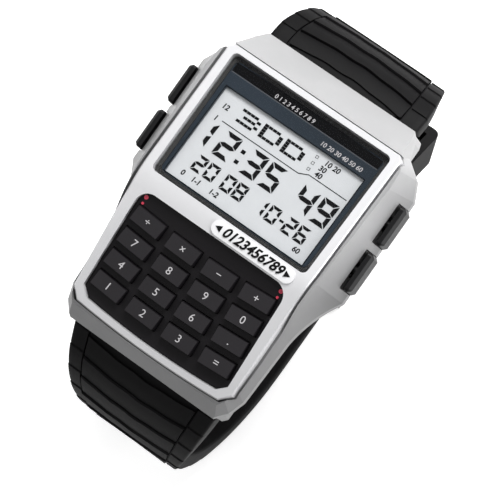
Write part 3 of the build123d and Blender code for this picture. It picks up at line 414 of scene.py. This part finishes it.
# Prints, and one painted highlight, which no piece of the part carries
INKS = {
    "lcd_ink": surface("lcd_ink", (0.003, 0.003, 0.0035), 0.5, vary=0.1, bump=0.0, specular=0.1),
    "label_grey": surface("label_grey", (0.40, 0.39, 0.40), 0.5, vary=0.04, bump=0.02),
    "plate_ink": surface("plate_ink", (0.004, 0.004, 0.004), 0.5, vary=0.1, bump=0.0, specular=0.1),
    "band_black": surface("band_black", (0.002, 0.002, 0.0025), 0.25, vary=0.1, bump=0.0, specular=0.15),
    # Painted highlight: a lighter grey line along the lower edge of the window's glossy black band
    "band_highlight_line": surface("band_highlight_line", (0.06, 0.065, 0.075), 0.3, vary=0.1, bump=0.0),
}


def dress_nodes():
    """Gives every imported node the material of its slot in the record."""
    for entry in frame["record"]["subparts"]:
        node = frame["nodes"][entry["node"]]
        node.data.materials.clear()
        node.data.materials.append(MATERIALS[entry["material_slot"]])


# Planes of the face

def tilted(tilt):
    """The plane through the ridge that leans by the angle, as a matrix in millimetres."""
    return Matrix.Translation((0, RIDGE_Y, FACE_HEIGHT)) @ Matrix.Rotation(tilt, 4, "X")


DISPLAY = tilted(-DISPLAY_TILT)
KEYPAD = tilted(KEYPAD_TILT)


def along_face(y, tilt):
    """Distance from the ridge, within a tilted face, of what lies at y seen from above."""
    return (y - RIDGE_Y) / math.cos(tilt)


def on_display(x, y, z):
    return DISPLAY @ Vector((x, along_face(y, DISPLAY_TILT), z))


def display_site(x, y, z):
    return DISPLAY @ Matrix.Translation((x, along_face(y, DISPLAY_TILT), z))


def upright(x, y, z):
    return Vector((x, y, z))


def new_piece(name, mesh, material, body):
    """An object that has the one material and rides the body."""
    piece = bpy.data.objects.new(name, mesh)
    bpy.context.scene.collection.objects.link(piece)
    mesh.materials.clear()
    mesh.materials.append(material)
    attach(piece, body)
    return piece


def join_rings(bm, a, b):
    """A band of faces between two rings of equally many points."""
    for i in range(len(a)):
        j = (i + 1) % len(a)
        bm.faces.new((a[i], a[j], b[j], b[i]))


def finished_mesh(name, bm):
    mesh = bpy.data.meshes.new(name)
    bmesh.ops.recalc_face_normals(bm, faces=bm.faces)
    bm.to_mesh(mesh)
    bm.free()
    return mesh


def printed(name, polygons, place, z, material):
    """Thin printed shapes on the watch: each polygon stands INK thick on the surface at height z."""
    bm = bmesh.new()
    for points in polygons:
        low = [bm.verts.new(place(x, y, z) * MM) for x, y in points]
        high = [bm.verts.new(place(x, y, z + INK) * MM) for x, y in points]
        bm.faces.new(low[::-1])
        bm.faces.new(high)
        join_rings(bm, low, high)
    return new_piece(name, finished_mesh(name, bm), material, "watch")


def lettering(name, text, size, matrix, material, body, slant=0.0, bold=0.0):
    """Digits and operators as thin solids, in the plane that the matrix gives (millimetres)."""
    curve = bpy.data.curves.new(name, "FONT")
    curve.body = text
    curve.size = size
    curve.shear = slant
    curve.offset = bold
    curve.align_x = "CENTER"
    curve.align_y = "CENTER"
    curve.extrude = INK / 2
    curve.resolution_u = LETTER_STEPS
    holder = bpy.data.objects.new(name + "_line", curve)
    bpy.context.scene.collection.objects.link(holder)
    bpy.context.view_layer.update()
    mesh = bpy.data.meshes.new_from_object(holder.evaluated_get(bpy.context.evaluated_depsgraph_get()))
    bpy.data.objects.remove(holder)
    bpy.data.curves.remove(curve)
    mesh.name = name
    mesh.transform(Matrix.Scale(MM, 4) @ matrix)
    return new_piece(name, mesh, material, body)


# Display picture: the bars that make up each digit, clockwise from the top as a to f, with g in the middle

SEGMENTS = {"0": "abcdef", "1": "bc", "2": "abged", "3": "abgcd", "4": "fgbc", "5": "afgcd", "6": "afgedc",
            "7": "abc", "8": "abcdefg", "9": "abcdfg"}


def segment_shapes(width, height, bar, gap):
    """The seven bars of a digit, mitred at the corners."""
    half = height / 2
    half_bar = bar / 2
    return {
        "a": [(gap, height), (width - gap, height), (width - bar - gap, height - bar),
              (bar + gap, height - bar)],
        "d": [(gap, 0), (bar + gap, bar), (width - bar - gap, bar), (width - gap, 0)],
        "g": [(gap, half), (bar, half + half_bar), (width - bar, half + half_bar), (width - gap, half),
              (width - bar, half - half_bar), (bar, half - half_bar)],
        "f": [(0, height - gap), (bar, height - bar - gap), (bar, half + half_bar + gap), (0, half + gap)],
        "e": [(0, half - gap), (bar, half - half_bar - gap), (bar, bar + gap), (0, gap)],
        "b": [(width, height - gap), (width, half + gap), (width - bar, half + half_bar + gap),
              (width - bar, height - bar - gap)],
        "c": [(width, half - gap), (width, gap), (width - bar, bar + gap),
              (width - bar, half - half_bar - gap)],
    }


def number_shapes(text, lefts, low, size):
    """The bars of the digits, which stand on y = low and lean to the right."""
    bars = segment_shapes(**size)
    shapes = []
    for digit, left in zip(text, lefts):
        for letter in SEGMENTS[digit]:
            shapes.append([(left + x + FIGURE_LEAN * y, low + y) for x, y in bars[letter]])
    return shapes


DOTS = {
    "3": ["1111.", "....1", ".111.", "....1", "1111."],
    "0": ["1111.", "1...1", "1...1", "1...1", "1111."],
}


def dot_shapes(text, lefts):
    """Digits out of small rectangles that almost touch."""
    shapes = []
    for digit, left in zip(text, lefts):
        for row, cells in enumerate(DOTS[digit]):
            for column, cell in enumerate(cells):
                if cell == "1":
                    x = left + column * DOT_STEP_X
                    y = DOT_TOP - row * DOT_STEP_Y
                    right = x + DOT_STEP_X * DOT_SHARE
                    low = y - DOT_STEP_Y * DOT_SHARE
                    shapes.append([(x, y), (right, y), (right, low), (x, low)])
    return shapes


def rectangle(x_low, x_high, y_low, y_high):
    return [(x_low, y_low), (x_high, y_low), (x_high, y_high), (x_low, y_high)]


def small_ring(x, y, half, line):
    """An open square out of four strips."""
    return [rectangle(x - half, x + half, y + half - line, y + half),
            rectangle(x - half, x + half, y - half, y - half + line),
            rectangle(x - half, x - half + line, y - half + line, y + half - line),
            rectangle(x + half - line, x + half, y - half + line, y + half - line)]


def display_rule():
    """The line over the time, which steps up on its way to the right."""
    left, bend_low, bend_high, right = RULE_X
    low, high = RULE_Y
    return [(left, low), (bend_low, low), (bend_high, high), (right, high), (right, high + RULE_LINE),
            (bend_high - RULE_MITRE, high + RULE_LINE), (bend_low - RULE_MITRE, low + RULE_LINE),
            (left, low + RULE_LINE)]


def make_display_picture():
    """Time, date, seconds and small marks, just above the display's ground."""
    shapes = []
    for text, lefts in TIME_FIGURES:
        shapes += number_shapes(text, lefts, TIME_Y, TIME_SIZE)
    for y in COLON_ROWS:
        shapes.append(rectangle(*COLON_X, y, y + COLON_HEIGHT))
    for text, lefts in DATE_FIGURES:
        shapes += number_shapes(text, lefts, DATE_Y, DATE_SIZE)
    shapes.append(rectangle(*DASH_X, *DASH_Y))
    shapes += dot_shapes(*DOT_FIGURES)
    shapes.append(display_rule())
    for y in BOX_ROWS:
        shapes += small_ring(BOX_X, y, BOX_HALF, BOX_LINE)
    printed("display_figures", shapes, on_display, -LCD_DROP + INK / 2, INKS["lcd_ink"])
    for index, (text, x, y) in enumerate(MARKS):
        lettering("display_mark_%d" % index, text, MARK_SIZE, display_site(x, y, -LCD_DROP + INK),
                  INKS["lcd_ink"], "watch", MARK_LEAN, MARK_BOLD)


def window_band():
    """The glossy band along the window's top, whose upper edge is bowed."""
    across = [1 - i / BAND_STEPS for i in range(2 * BAND_STEPS + 1)]
    arc = [(WINDOW_HALF_WIDTH * share, BAND_TOP - BAND_BULGE * share ** 2) for share in across]
    return [(-WINDOW_HALF_WIDTH, BAND_BOTTOM), (WINDOW_HALF_WIDTH, BAND_BOTTOM)] + arc


def display_border():
    """Four dark lines round the display."""
    inner_x = LCD_HALF_WIDTH + FRAME_GAP_X
    outer_x = inner_x + FRAME_LINE
    high = LCD_TOP + FRAME_GAP_Y
    low = LCD_BOTTOM - FRAME_GAP_Y
    return [rectangle(-outer_x, outer_x, high, high + FRAME_LINE),
            rectangle(-outer_x, outer_x, low - FRAME_LINE, low),
            rectangle(-outer_x, -inner_x, low, high),
            rectangle(inner_x, outer_x, low, high)]


def make_window_print():
    """The glossy band with a painted highlight line along its lower edge, the framing lines and the small
    pale figures, under the crystal.
    """
    height = -MASK_DROP + INK / 2
    # A painted highlight line along the band's lower edge
    band_highlight_line = rectangle(-WINDOW_HALF_WIDTH, WINDOW_HALF_WIDTH, BAND_BOTTOM - BAND_HIGHLIGHT_WIDTH, BAND_BOTTOM)
    printed("window_band", [window_band()], on_display, height, INKS["band_black"])
    printed("window_frame_line", display_border(), on_display, height, INKS["band_black"])
    printed("window_band_highlight_line", [band_highlight_line], on_display, height, INKS["band_highlight_line"])
    for name, text, x, y, size in WINDOW_FIGURES:
        lettering(name, text, size, display_site(x, y, -MASK_DROP + 2 * INK), INKS["label_grey"], "watch",
                  MARK_LEAN, WINDOW_FIGURE_BOLD)


def make_plate_figures():
    """Running digits between two arrowheads, on the plate over the ridge."""
    centre_y = (WINDOW_BOTTOM + KEYPAD_TOP) / 2
    height = FACE_HEIGHT + PLATE_RISE
    matrix = Matrix.Translation((PLATE_X, centre_y, height + INK / 2))
    lettering("plate_figures", "0123456789", PLATE_FIGURE_SIZE, matrix, INKS["plate_ink"], "watch",
              PLATE_LEAN, PLATE_BOLD)
    arrows = []
    for side in (-1, 1):
        tip = PLATE_X + side * ARROW_REACH
        base = tip - side * ARROW_LENGTH
        arrows.append([(tip, centre_y), (base, centre_y + ARROW_HALF), (base, centre_y - ARROW_HALF)])
    printed("plate_arrows", arrows, upright, height, INKS["plate_ink"])


# Key legends

def make_legends():
    """One legend on each key's slanted top; the rows bow, and each key turns with its row."""
    slope = math.atan((KEY_RISE_HIGH - KEY_RISE_LOW) / KEY_HEIGHT)
    middle = -KEYPAD_DROP + (KEY_RISE_LOW + KEY_RISE_HIGH) / 2
    for row, names in enumerate(KEY_ROWS):
        for column, name in enumerate(names):
            x = (column - (len(names) - 1) / 2) * KEY_PITCH_X
            y = KEY_ROW_Y - row * KEY_PITCH_Y + x * x / (2 * KEY_ARC_RADIUS)
            site = (KEYPAD @ Matrix.Translation((x, along_face(y, KEYPAD_TILT), 0))
                    @ Matrix.Rotation(math.atan2(x, KEY_ARC_RADIUS), 4, "Z"))
            top = Matrix.Translation((0, 0, middle)) @ Matrix.Rotation(slope, 4, "X")
            matrix = site @ top @ Matrix.Translation((0, 0, INK / 2))
            lettering("legend_" + name, LEGENDS.get(name, name), LEGEND_SIZE, matrix, INKS["label_grey"],
                      "key_%s_body" % name)


# Strap tracks, as in the part: in side view, a stretch is ("line", length) or ("arc", radius, degrees)

SLANT_END = 3
FLAT_START = 4


def make_track(side, depth, heading, run, radius, slant, tail_radius, floor):
    """A run out of the case, a shoulder, a slanted middle and an arc down to the flat run on the floor."""
    first = math.radians(heading)
    second = math.radians(-slant)
    shoulder_z = level(depth) + run * math.sin(first)
    if slant > 90:
        drop = radius * (math.cos(first) - math.cos(second))
        bow = tail_radius * (1 + math.cos(second))
        middle = ("line", (shoulder_z - drop - bow - floor) / -math.sin(second))
        end = ("arc", tail_radius, 180 - slant)
    else:
        middle = ("line", 0)
        end = ("arc", shoulder_z - radius * math.cos(first) - floor, 90)
    parts = [("line", run), ("arc", radius, slant + heading), middle, end, ("line", FLAT_RUN)]
    return {"side": side, "start": (STRAP_START_Y, level(depth)), "heading": heading, "parts": parts}


UPPER = make_track(side=1, depth=7.75, heading=-12.0, run=2.0, radius=9.3, slant=122.0, tail_radius=10.0,
                   floor=TRACK_FLOOR)
LOWER = make_track(side=-1, depth=9.0, heading=-36.0, run=4.3, radius=17.355, slant=90.0, tail_radius=0.0,
                   floor=0.0)


def part_length(part):
    return part[1] if part[0] == "line" else part[1] * math.radians(part[2])


def joints_of(track):
    """Distances along the track at which its stretches begin and end."""
    places = [0.0]
    for part in track["parts"]:
        places.append(places[-1] + part_length(part))
    return places


def track_frame(track, s):
    """Point (y, z) and outward normal of the track at distance s."""
    y, z = track["start"]
    heading = math.radians(track["heading"])
    left = s
    for part in track["parts"]:
        step = min(left, part_length(part))
        if part[0] == "line":
            y += step * math.cos(heading)
            z += step * math.sin(heading)
        elif step > 0:
            turn = step / part[1]
            y += part[1] * (math.sin(heading) - math.sin(heading - turn))
            z += part[1] * (math.cos(heading - turn) - math.cos(heading))
            heading -= turn
        left -= step
    side = track["side"]
    return (side * y, z), (-side * math.sin(heading), math.cos(heading))


def flat_place(track, y):
    """Distance along the track of the point on its flat run that lies at y."""
    start = joints_of(track)[FLAT_START]
    return start + track["side"] * (track_frame(track, start)[0][0] - y)


def half_width_at(y, z):
    """Half the strap's width: it tapers as it goes down, and narrows where it enters the case."""
    depth = FACE_HEIGHT - z
    share = min(1.0, max(0.0, (depth - TAPER_START) / (TAPER_END - TAPER_START)))
    width = STRAP_HALF_WIDTH + (STRAP_END_HALF_WIDTH - STRAP_HALF_WIDTH) * share
    if z > level(2 * TAPER_START):
        slot_y = STRAP_SLOT_Y if y > 0 else STRAP_SLOT_Y - LOWER_SLOT_SHIFT
        inside = smooth((abs(y) - slot_y) / SLOT_BLEND + 1)
        lug = STRAP_LUG_HALF_WIDTH + (width - STRAP_LUG_HALF_WIDTH) * inside
        width = min(width, lug)
    return width


def inner_width(width):
    """Half the width between the two grooves."""
    return width - MARGIN * width / STRAP_HALF_WIDTH


def rib_shift(s, x, width, end):
    """How far a rib edge sags along the track at x; none at the ends, less in the margins."""
    inner = max(LEAST_INNER, inner_width(width))
    across = min(1.0, abs(x) / inner)
    wave = RIB_WAVE * math.sin(RIB_WAVE_TURNS * x / inner) * (1 - across)
    sag = RIB_SAG * (1 - across * across) + wave
    if abs(x) > inner:
        sag = -MARGIN_SHIFT
    return sag * smooth(s / SAG_FADE_IN) * smooth((end - s) / SAG_FADE_OUT)


def rib_height(s, x, width, ribs, plain_end):
    """Ribs with a raised edge, and a groove that sets off each margin."""
    start, pitch, count = ribs
    place = (s - start) / pitch
    inner = inner_width(width)
    rise = 0.0
    if 0 <= place < count:
        phase = place % 1.0
        rise = smooth(phase / RIB_STEP_SHARE) * (1 - phase) ** RIB_SLOPE_POWER
        if phase > RIB_DIP_SHARE:
            rise = -RIB_DIP
    margin = smooth((abs(x) - inner - MARGIN_BLEND) / MARGIN_BLEND)
    height = RIB_LOW + (RIB_RISE - RIB_LOW) * rise * (1 - MARGIN_LOSS_SHARE * margin)
    if abs(abs(x) - inner) < GROOVE_HALF_WIDTH:
        height = -GROOVE_DEPTH
    return height * smooth((plain_end - s) / RIB_FADE)


def section_places(width):
    """Places across the strap: close together at the grooves and on the rounded edges."""
    inner = inner_width(width)
    flat = width - EDGE_ROUND
    past = inner + GROOVE_PLACES[-1]
    right = [(inner - MIDDLE_GAP) * i / MIDDLE_STEPS for i in range(MIDDLE_STEPS + 1)]
    right += [inner + place for place in GROOVE_PLACES]
    right += [past + (flat - past) * i / MARGIN_STEPS for i in range(1, MARGIN_STEPS)]
    right += [width - share * EDGE_ROUND for share in EDGE_SHARES]
    return [-x for x in reversed(right[1:])] + right


def rib_stations(ribs, plain_end, end):
    """Places along the track: close together where a rib ends, wide apart between."""
    start, pitch, count = ribs
    places = {0.0, end, plain_end, plain_end - RIB_FADE, plain_end - RIB_FADE / 2}
    for index in range(count + 1):
        for share in RIB_SHARES:
            places.add(start + (index + share) * pitch)
    places.update(spread(0.0, end, STATION_STEP))
    kept = []
    for s in sorted(p for p in places if 0 <= p <= end):
        if not kept or s - kept[-1] > STATION_LEAST:
            kept.append(s)
    kept[-1] = end
    return kept


def edge_drop(x, width, radius):
    """How far the rounded edge lies below the flat at x."""
    reach = min(radius, max(0.0, abs(x) - (width - radius)))
    return radius - math.sqrt(radius * radius - reach * reach)


def strap_ring(track, s, width, outer, inner, shift=None, lift=0.0):
    """One loop round the strap; outer gives its top at x, shift bends it along the track, lift raises it."""
    ring = []
    places = section_places(width)
    for x in places:
        (y, z), (ny, nz) = track_frame(track, max(0.0, s + (shift(x) if shift else 0.0)))
        offset = lift + outer(x) - edge_drop(x, width, EDGE_ROUND)
        ring.append((x, y + offset * ny, z + offset * nz))
    (y, z), (ny, nz) = track_frame(track, s)
    for x in reversed(places):
        offset = lift + inner + edge_drop(x, width, EDGE_ROUND) * INNER_ROUND_SHARE
        ring.append((x, y + offset * ny, z + offset * nz))
    return ring


def flat_ring(y, z, width, thickness):
    """One upright loop round the plain strap, whose lower face lies at z."""
    places = section_places(width)
    top = z + thickness
    ring = [(x, y, z + edge_drop(x, width, EDGE_ROUND)) for x in places]
    for x in reversed(places):
        ring.append((x, y, top - edge_drop(x, width, EDGE_ROUND) * INNER_ROUND_SHARE))
    return ring


def sweep_strap(name, loops):
    """A closed skin over the loops, given in millimetres."""
    bm = bmesh.new()
    rings = [[bm.verts.new(Vector(point) * MM) for point in loop] for loop in loops]
    for a, b in zip(rings, rings[1:]):
        join_rings(bm, a, b)
    bm.faces.new(rings[0][::-1])
    bm.faces.new(rings[-1])
    bmesh.ops.remove_doubles(bm, verts=bm.verts, dist=WELD * MM)
    return finished_mesh(name, bm)


def ribbed_rings(track, ribs, plain_end, end, thin_place_s):
    """Loops of the ribbed stretch, which gets thinner on its way to thin_place_s."""
    rings = []
    for s in rib_stations(ribs, plain_end, end):
        width = half_width_at(*track_frame(track, s)[0])
        thick = STRAP_THICK + (STRAP_THIN - STRAP_THICK) * smooth(s / thin_place_s)
        rings.append(strap_ring(track, s, width, lambda x: rib_height(s, x, width, ribs, plain_end), -thick,
                                lambda x: rib_shift(s, x, width, end)))
    return rings


def circle(bm, x, y, z, radius):
    turns = [2 * math.pi * i / TUBE_STEPS for i in range(TUBE_STEPS)]
    return [bm.verts.new(Vector((x, y + radius * math.cos(turn), z + radius * math.sin(turn))) * MM)
            for turn in turns]


def add_tubes(mesh, tubes):
    """Adds tubes along x to the mesh: centre y and z, radius, bore, and the two ends."""
    bm = bmesh.new()
    bm.from_mesh(mesh)
    for y, z, radius, bore, x_low, x_high in tubes:
        corners = ((bore, x_low), (radius, x_low), (radius, x_high), (bore, x_high))
        rings = [circle(bm, x, y, z, r) for r, x in corners]
        for a, b in zip(rings, rings[1:] + rings[:1]):
            join_rings(bm, a, b)
    bmesh.ops.recalc_face_normals(bm, faces=bm.faces)
    bm.to_mesh(mesh)
    bm.free()


def cut(mesh, tools):
    """The mesh without what lies in the closed tool meshes."""
    body = bpy.data.objects.new(mesh.name + "_stock", mesh)
    bpy.context.scene.collection.objects.link(body)
    helpers = []
    for tool in tools:
        helper = bpy.data.objects.new(tool.name, tool)
        bpy.context.scene.collection.objects.link(helper)
        helpers.append(helper)
        modifier = body.modifiers.new(tool.name, "BOOLEAN")
        modifier.operation = "DIFFERENCE"
        modifier.object = helper
        modifier.solver = "EXACT"
    bpy.context.view_layer.update()
    result = bpy.data.meshes.new_from_object(body.evaluated_get(bpy.context.evaluated_depsgraph_get()))
    for helper in helpers:
        bpy.data.objects.remove(helper)
    bpy.data.objects.remove(body)
    return result


def box_tool(name, x_half, y_low, y_high, z_low, z_high):
    """A box that is centred across the strap."""
    bm = bmesh.new()
    bmesh.ops.create_cube(bm, size=1.0)
    for v in bm.verts:
        v.co = Vector((v.co.x * 2 * x_half, y_low + (v.co.y + 0.5) * (y_high - y_low),
                       z_low + (v.co.z + 0.5) * (z_high - z_low))) * MM
    return finished_mesh(name, bm)


def rod_tool(name, y, z, normal, radius, reach):
    """A rod through (y, z) that stands along the normal."""
    bm = bmesh.new()
    bmesh.ops.create_cone(bm, cap_ends=True, segments=HOLE_SEGMENTS, radius1=radius, radius2=radius,
                          depth=2 * reach)
    turn = Vector((0, 0, 1)).rotation_difference(Vector((0, normal[0], normal[1]))).to_matrix().to_4x4()
    bm.transform(Matrix.Scale(MM, 4) @ Matrix.Translation((0, y, z)) @ turn)
    return finished_mesh(name, bm)


def lug_tube(y, depth):
    """The tube round the spring bar, by which a strap half hangs in the case."""
    return y, level(depth), LUG_TUBE_RADIUS, LUG_TUBE_BORE, -STRAP_LUG_HALF_WIDTH, STRAP_LUG_HALF_WIDTH


def finish_strap(mesh, name, node):
    """Shades the mesh and lets it stand for the plain strap half of the part."""
    for polygon in mesh.polygons:
        polygon.use_smooth = True
    mesh.set_sharp_from_angle(angle=SMOOTH_ANGLE)
    piece = new_piece(name, mesh, MATERIALS["strap_resin"], "watch")
    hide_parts(node)
    return piece


def keeper_place():
    """Distance along the upper track at which the free keeper begins."""
    return joints_of(UPPER)[SLANT_END] - KEEPER_LIFT - KEEPER_LENGTH


def make_upper_strap():
    """The half with the buckle, forked round the tongue."""
    end = flat_place(UPPER, BAR_Y)
    thin = keeper_place() - THIN_LEAD
    pin_z = TRACK_FLOOR + BAR_BOSS
    mesh = sweep_strap("band_upper", ribbed_rings(UPPER, UPPER_RIBS, thin, end, thin))
    mesh = cut(mesh, [
        box_tool("tongue_slot", SLOT_HALF_WIDTH, SLOT_LOW_Y, BAR_Y + SLOT_PAST_BAR, CUT_BOTTOM, CUT_TOP),
        box_tool("pin_room", BAR_ROOM_HALF_WIDTH, BAR_Y - BAR_ROOM, BAR_Y + BAR_ROOM, CUT_BOTTOM, CUT_TOP),
    ])
    add_tubes(mesh, [
        lug_tube(LUG_TUBE_Y, UPPER_LUG_DEPTH),
        (BAR_Y, pin_z, BAR_BOSS, BAR_BORE, -STRAP_END_HALF_WIDTH, -SLOT_HALF_WIDTH),
        (BAR_Y, pin_z, BAR_BOSS, BAR_BORE, SLOT_HALF_WIDTH, STRAP_END_HALF_WIDTH),
    ])
    return finish_strap(mesh, "band_upper", "strap_upper")


def tail_rings(ramp_y, flat_y):
    """Loops up the ramp and on along the upper track, outside the other half, to the rounded tip."""
    outer = LAYER_GAP + TAIL_THICK
    rings = []
    for share in RAMP_SHARES:
        y = ramp_y + (flat_y - ramp_y) * share
        z = (TRACK_FLOOR - outer) * smooth(share)
        rings.append(flat_ring(y, z, STRAP_END_HALF_WIDTH, TAIL_THICK))
    tail_end = keeper_place() + TAIL_IN_KEEPER
    for s in spread(tail_end, flat_place(UPPER, flat_y), TAIL_STEP)[::-1]:
        tip = smooth((s - tail_end) / TIP_LENGTH)
        width = STRAP_END_HALF_WIDTH * (TIP_SHARE + (1 - TIP_SHARE) * math.sqrt(tip))
        rings.append(strap_ring(UPPER, s, width, lambda x: 0.0, -TAIL_THICK, lift=outer))
    return rings


def hole_tools():
    """The hole that the tongue is in, and the round ones on both sides of it."""
    middle = (LAYER_GAP + TAIL_THICK) / 2
    tools = [box_tool("tongue_hole", TONGUE_HOLE_HALF_WIDTH, *TONGUE_HOLE, TONGUE_HOLE_BOTTOM,
                      TRACK_FLOOR - TONGUE_HOLE_GAP)]
    for step in HOLE_STEPS:
        s = flat_place(UPPER, sum(TONGUE_HOLE) / 2 + step * HOLE_PITCH)
        (y, z), normal = track_frame(UPPER, s)
        tools.append(rod_tool("hole_%d" % (step + 1), y + normal[0] * middle, z + normal[1] * middle, normal,
                              HOLE_RADIUS, middle + HOLE_OVERRUN))
    return tools


def make_lower_strap():
    """The half with the holes: under the wrist, up a ramp and round the outside of the other half."""
    flat_y = CROSSBAR_Y - CROSSBAR_HALF - CROSSBAR_CLEAR
    ramp_y = flat_y - RAMP_LENGTH
    plain_end = joints_of(LOWER)[FLAT_START]
    rings = ribbed_rings(LOWER, LOWER_RIBS, plain_end - LOWER_RIB_STOP, flat_place(LOWER, ramp_y), plain_end)
    mesh = cut(sweep_strap("band_lower", rings + tail_rings(ramp_y, flat_y)), hole_tools())
    add_tubes(mesh, [lug_tube(-LUG_TUBE_Y, LOWER_LUG_DEPTH)])
    return finish_strap(mesh, "band_lower", "strap_lower")


# Studio

def view_axes():
    """Directions of the picture: towards the camera, to the right and up."""
    normal = Vector((math.sin(VIEW_SIDE) * math.cos(VIEW_LOW), -math.sin(VIEW_LOW),
                     math.cos(VIEW_SIDE) * math.cos(VIEW_LOW)))
    right = Vector((0, 1, 0)).cross(normal).normalized()
    up = normal.cross(right)
    across = math.cos(VIEW_ROLL) * right + math.sin(VIEW_ROLL) * up
    above = -math.sin(VIEW_ROLL) * right + math.cos(VIEW_ROLL) * up
    return normal, across, above


def make_camera():
    """Aims so that the middle of the face's ridge falls on VIEW_CENTRE in the picture."""
    normal, across, above = view_axes()
    middle = IMAGE_SIZE / 2
    aim = Vector((0, 0, FACE_HEIGHT))
    aim += across * (middle - VIEW_CENTRE[0]) / VIEW_SCALE
    aim -= above * (middle - VIEW_CENTRE[1]) / VIEW_SCALE
    camera = bpy.data.cameras.new("camera")
    camera.sensor_width = SENSOR
    camera.lens = VIEW_SCALE * VIEW_DISTANCE * SENSOR / IMAGE_SIZE
    camera.clip_start, camera.clip_end = CLIP_RANGE
    holder = bpy.data.objects.new("camera", camera)
    place = Matrix((across, above, normal)).transposed().to_4x4()
    place.translation = (aim + normal * VIEW_DISTANCE) * MM
    holder.matrix_world = place
    bpy.context.scene.collection.objects.link(holder)
    bpy.context.scene.camera = holder


def add_light(name, where, size, power):
    """A rectangular lamp that faces the watch."""
    light = bpy.data.lights.new(name, "AREA")
    light.shape = "RECTANGLE"
    light.size, light.size_y = size
    light.energy = power
    holder = bpy.data.objects.new(name, light)
    holder.location = where
    holder.rotation_euler = (Vector(LIGHT_AIM) - Vector(where)).to_track_quat("-Z", "Y").to_euler()
    bpy.context.scene.collection.objects.link(holder)


def white_floor_material():
    """Pale floor that keeps its shadows; to the camera it is lifted evenly towards white."""
    material = surface("studio_floor", (0.90, 0.90, 0.90), 0.9, vary=0.01, bump=0.0, specular=0.0)
    tree = material.node_tree
    shader = tree.nodes["Principled BSDF"]
    rays = tree.nodes.new("ShaderNodeLightPath")
    lift = math_of(tree, "MULTIPLY", rays.outputs["Is Camera Ray"], FLOOR_LIFT)
    shader.inputs["Emission Color"].default_value = (1, 1, 1, 1)
    tree.links.new(lift, shader.inputs["Emission Strength"])
    return material


def make_floor():
    bm = bmesh.new()
    bmesh.ops.create_grid(bm, x_segments=FLOOR_CELLS, y_segments=FLOOR_CELLS, size=FLOOR_HALF)
    mesh = bpy.data.meshes.new("floor")
    bm.to_mesh(mesh)
    bm.free()
    floor = bpy.data.objects.new("floor", mesh)
    mesh.materials.append(white_floor_material())
    bpy.context.scene.collection.objects.link(floor)


def make_world():
    """White to the camera and through glass, dimmer as a light on the watch."""
    world = bpy.data.worlds.new("studio")
    bpy.context.scene.world = world
    world.use_nodes = True
    tree = world.node_tree
    shader = tree.nodes["Background"]
    shader.inputs["Color"].default_value = (1, 1, 1, 1)
    rays = tree.nodes.new("ShaderNodeLightPath")
    seen = math_of(tree, "MAXIMUM", rays.outputs["Is Camera Ray"], rays.outputs["Is Transmission Ray"])
    tree.links.new(range_of(tree, seen, AMBIENT, 1.0), shader.inputs["Strength"])


def make_studio():
    make_floor()
    make_world()
    for light in LIGHTS:
        add_light(**light)


dress_nodes()
make_display_picture()
make_window_print()
make_plate_figures()
make_legends()
make_upper_strap()
make_lower_strap()
make_camera()
make_studio()

scene = bpy.context.scene
scene.view_settings.view_transform = "Standard"

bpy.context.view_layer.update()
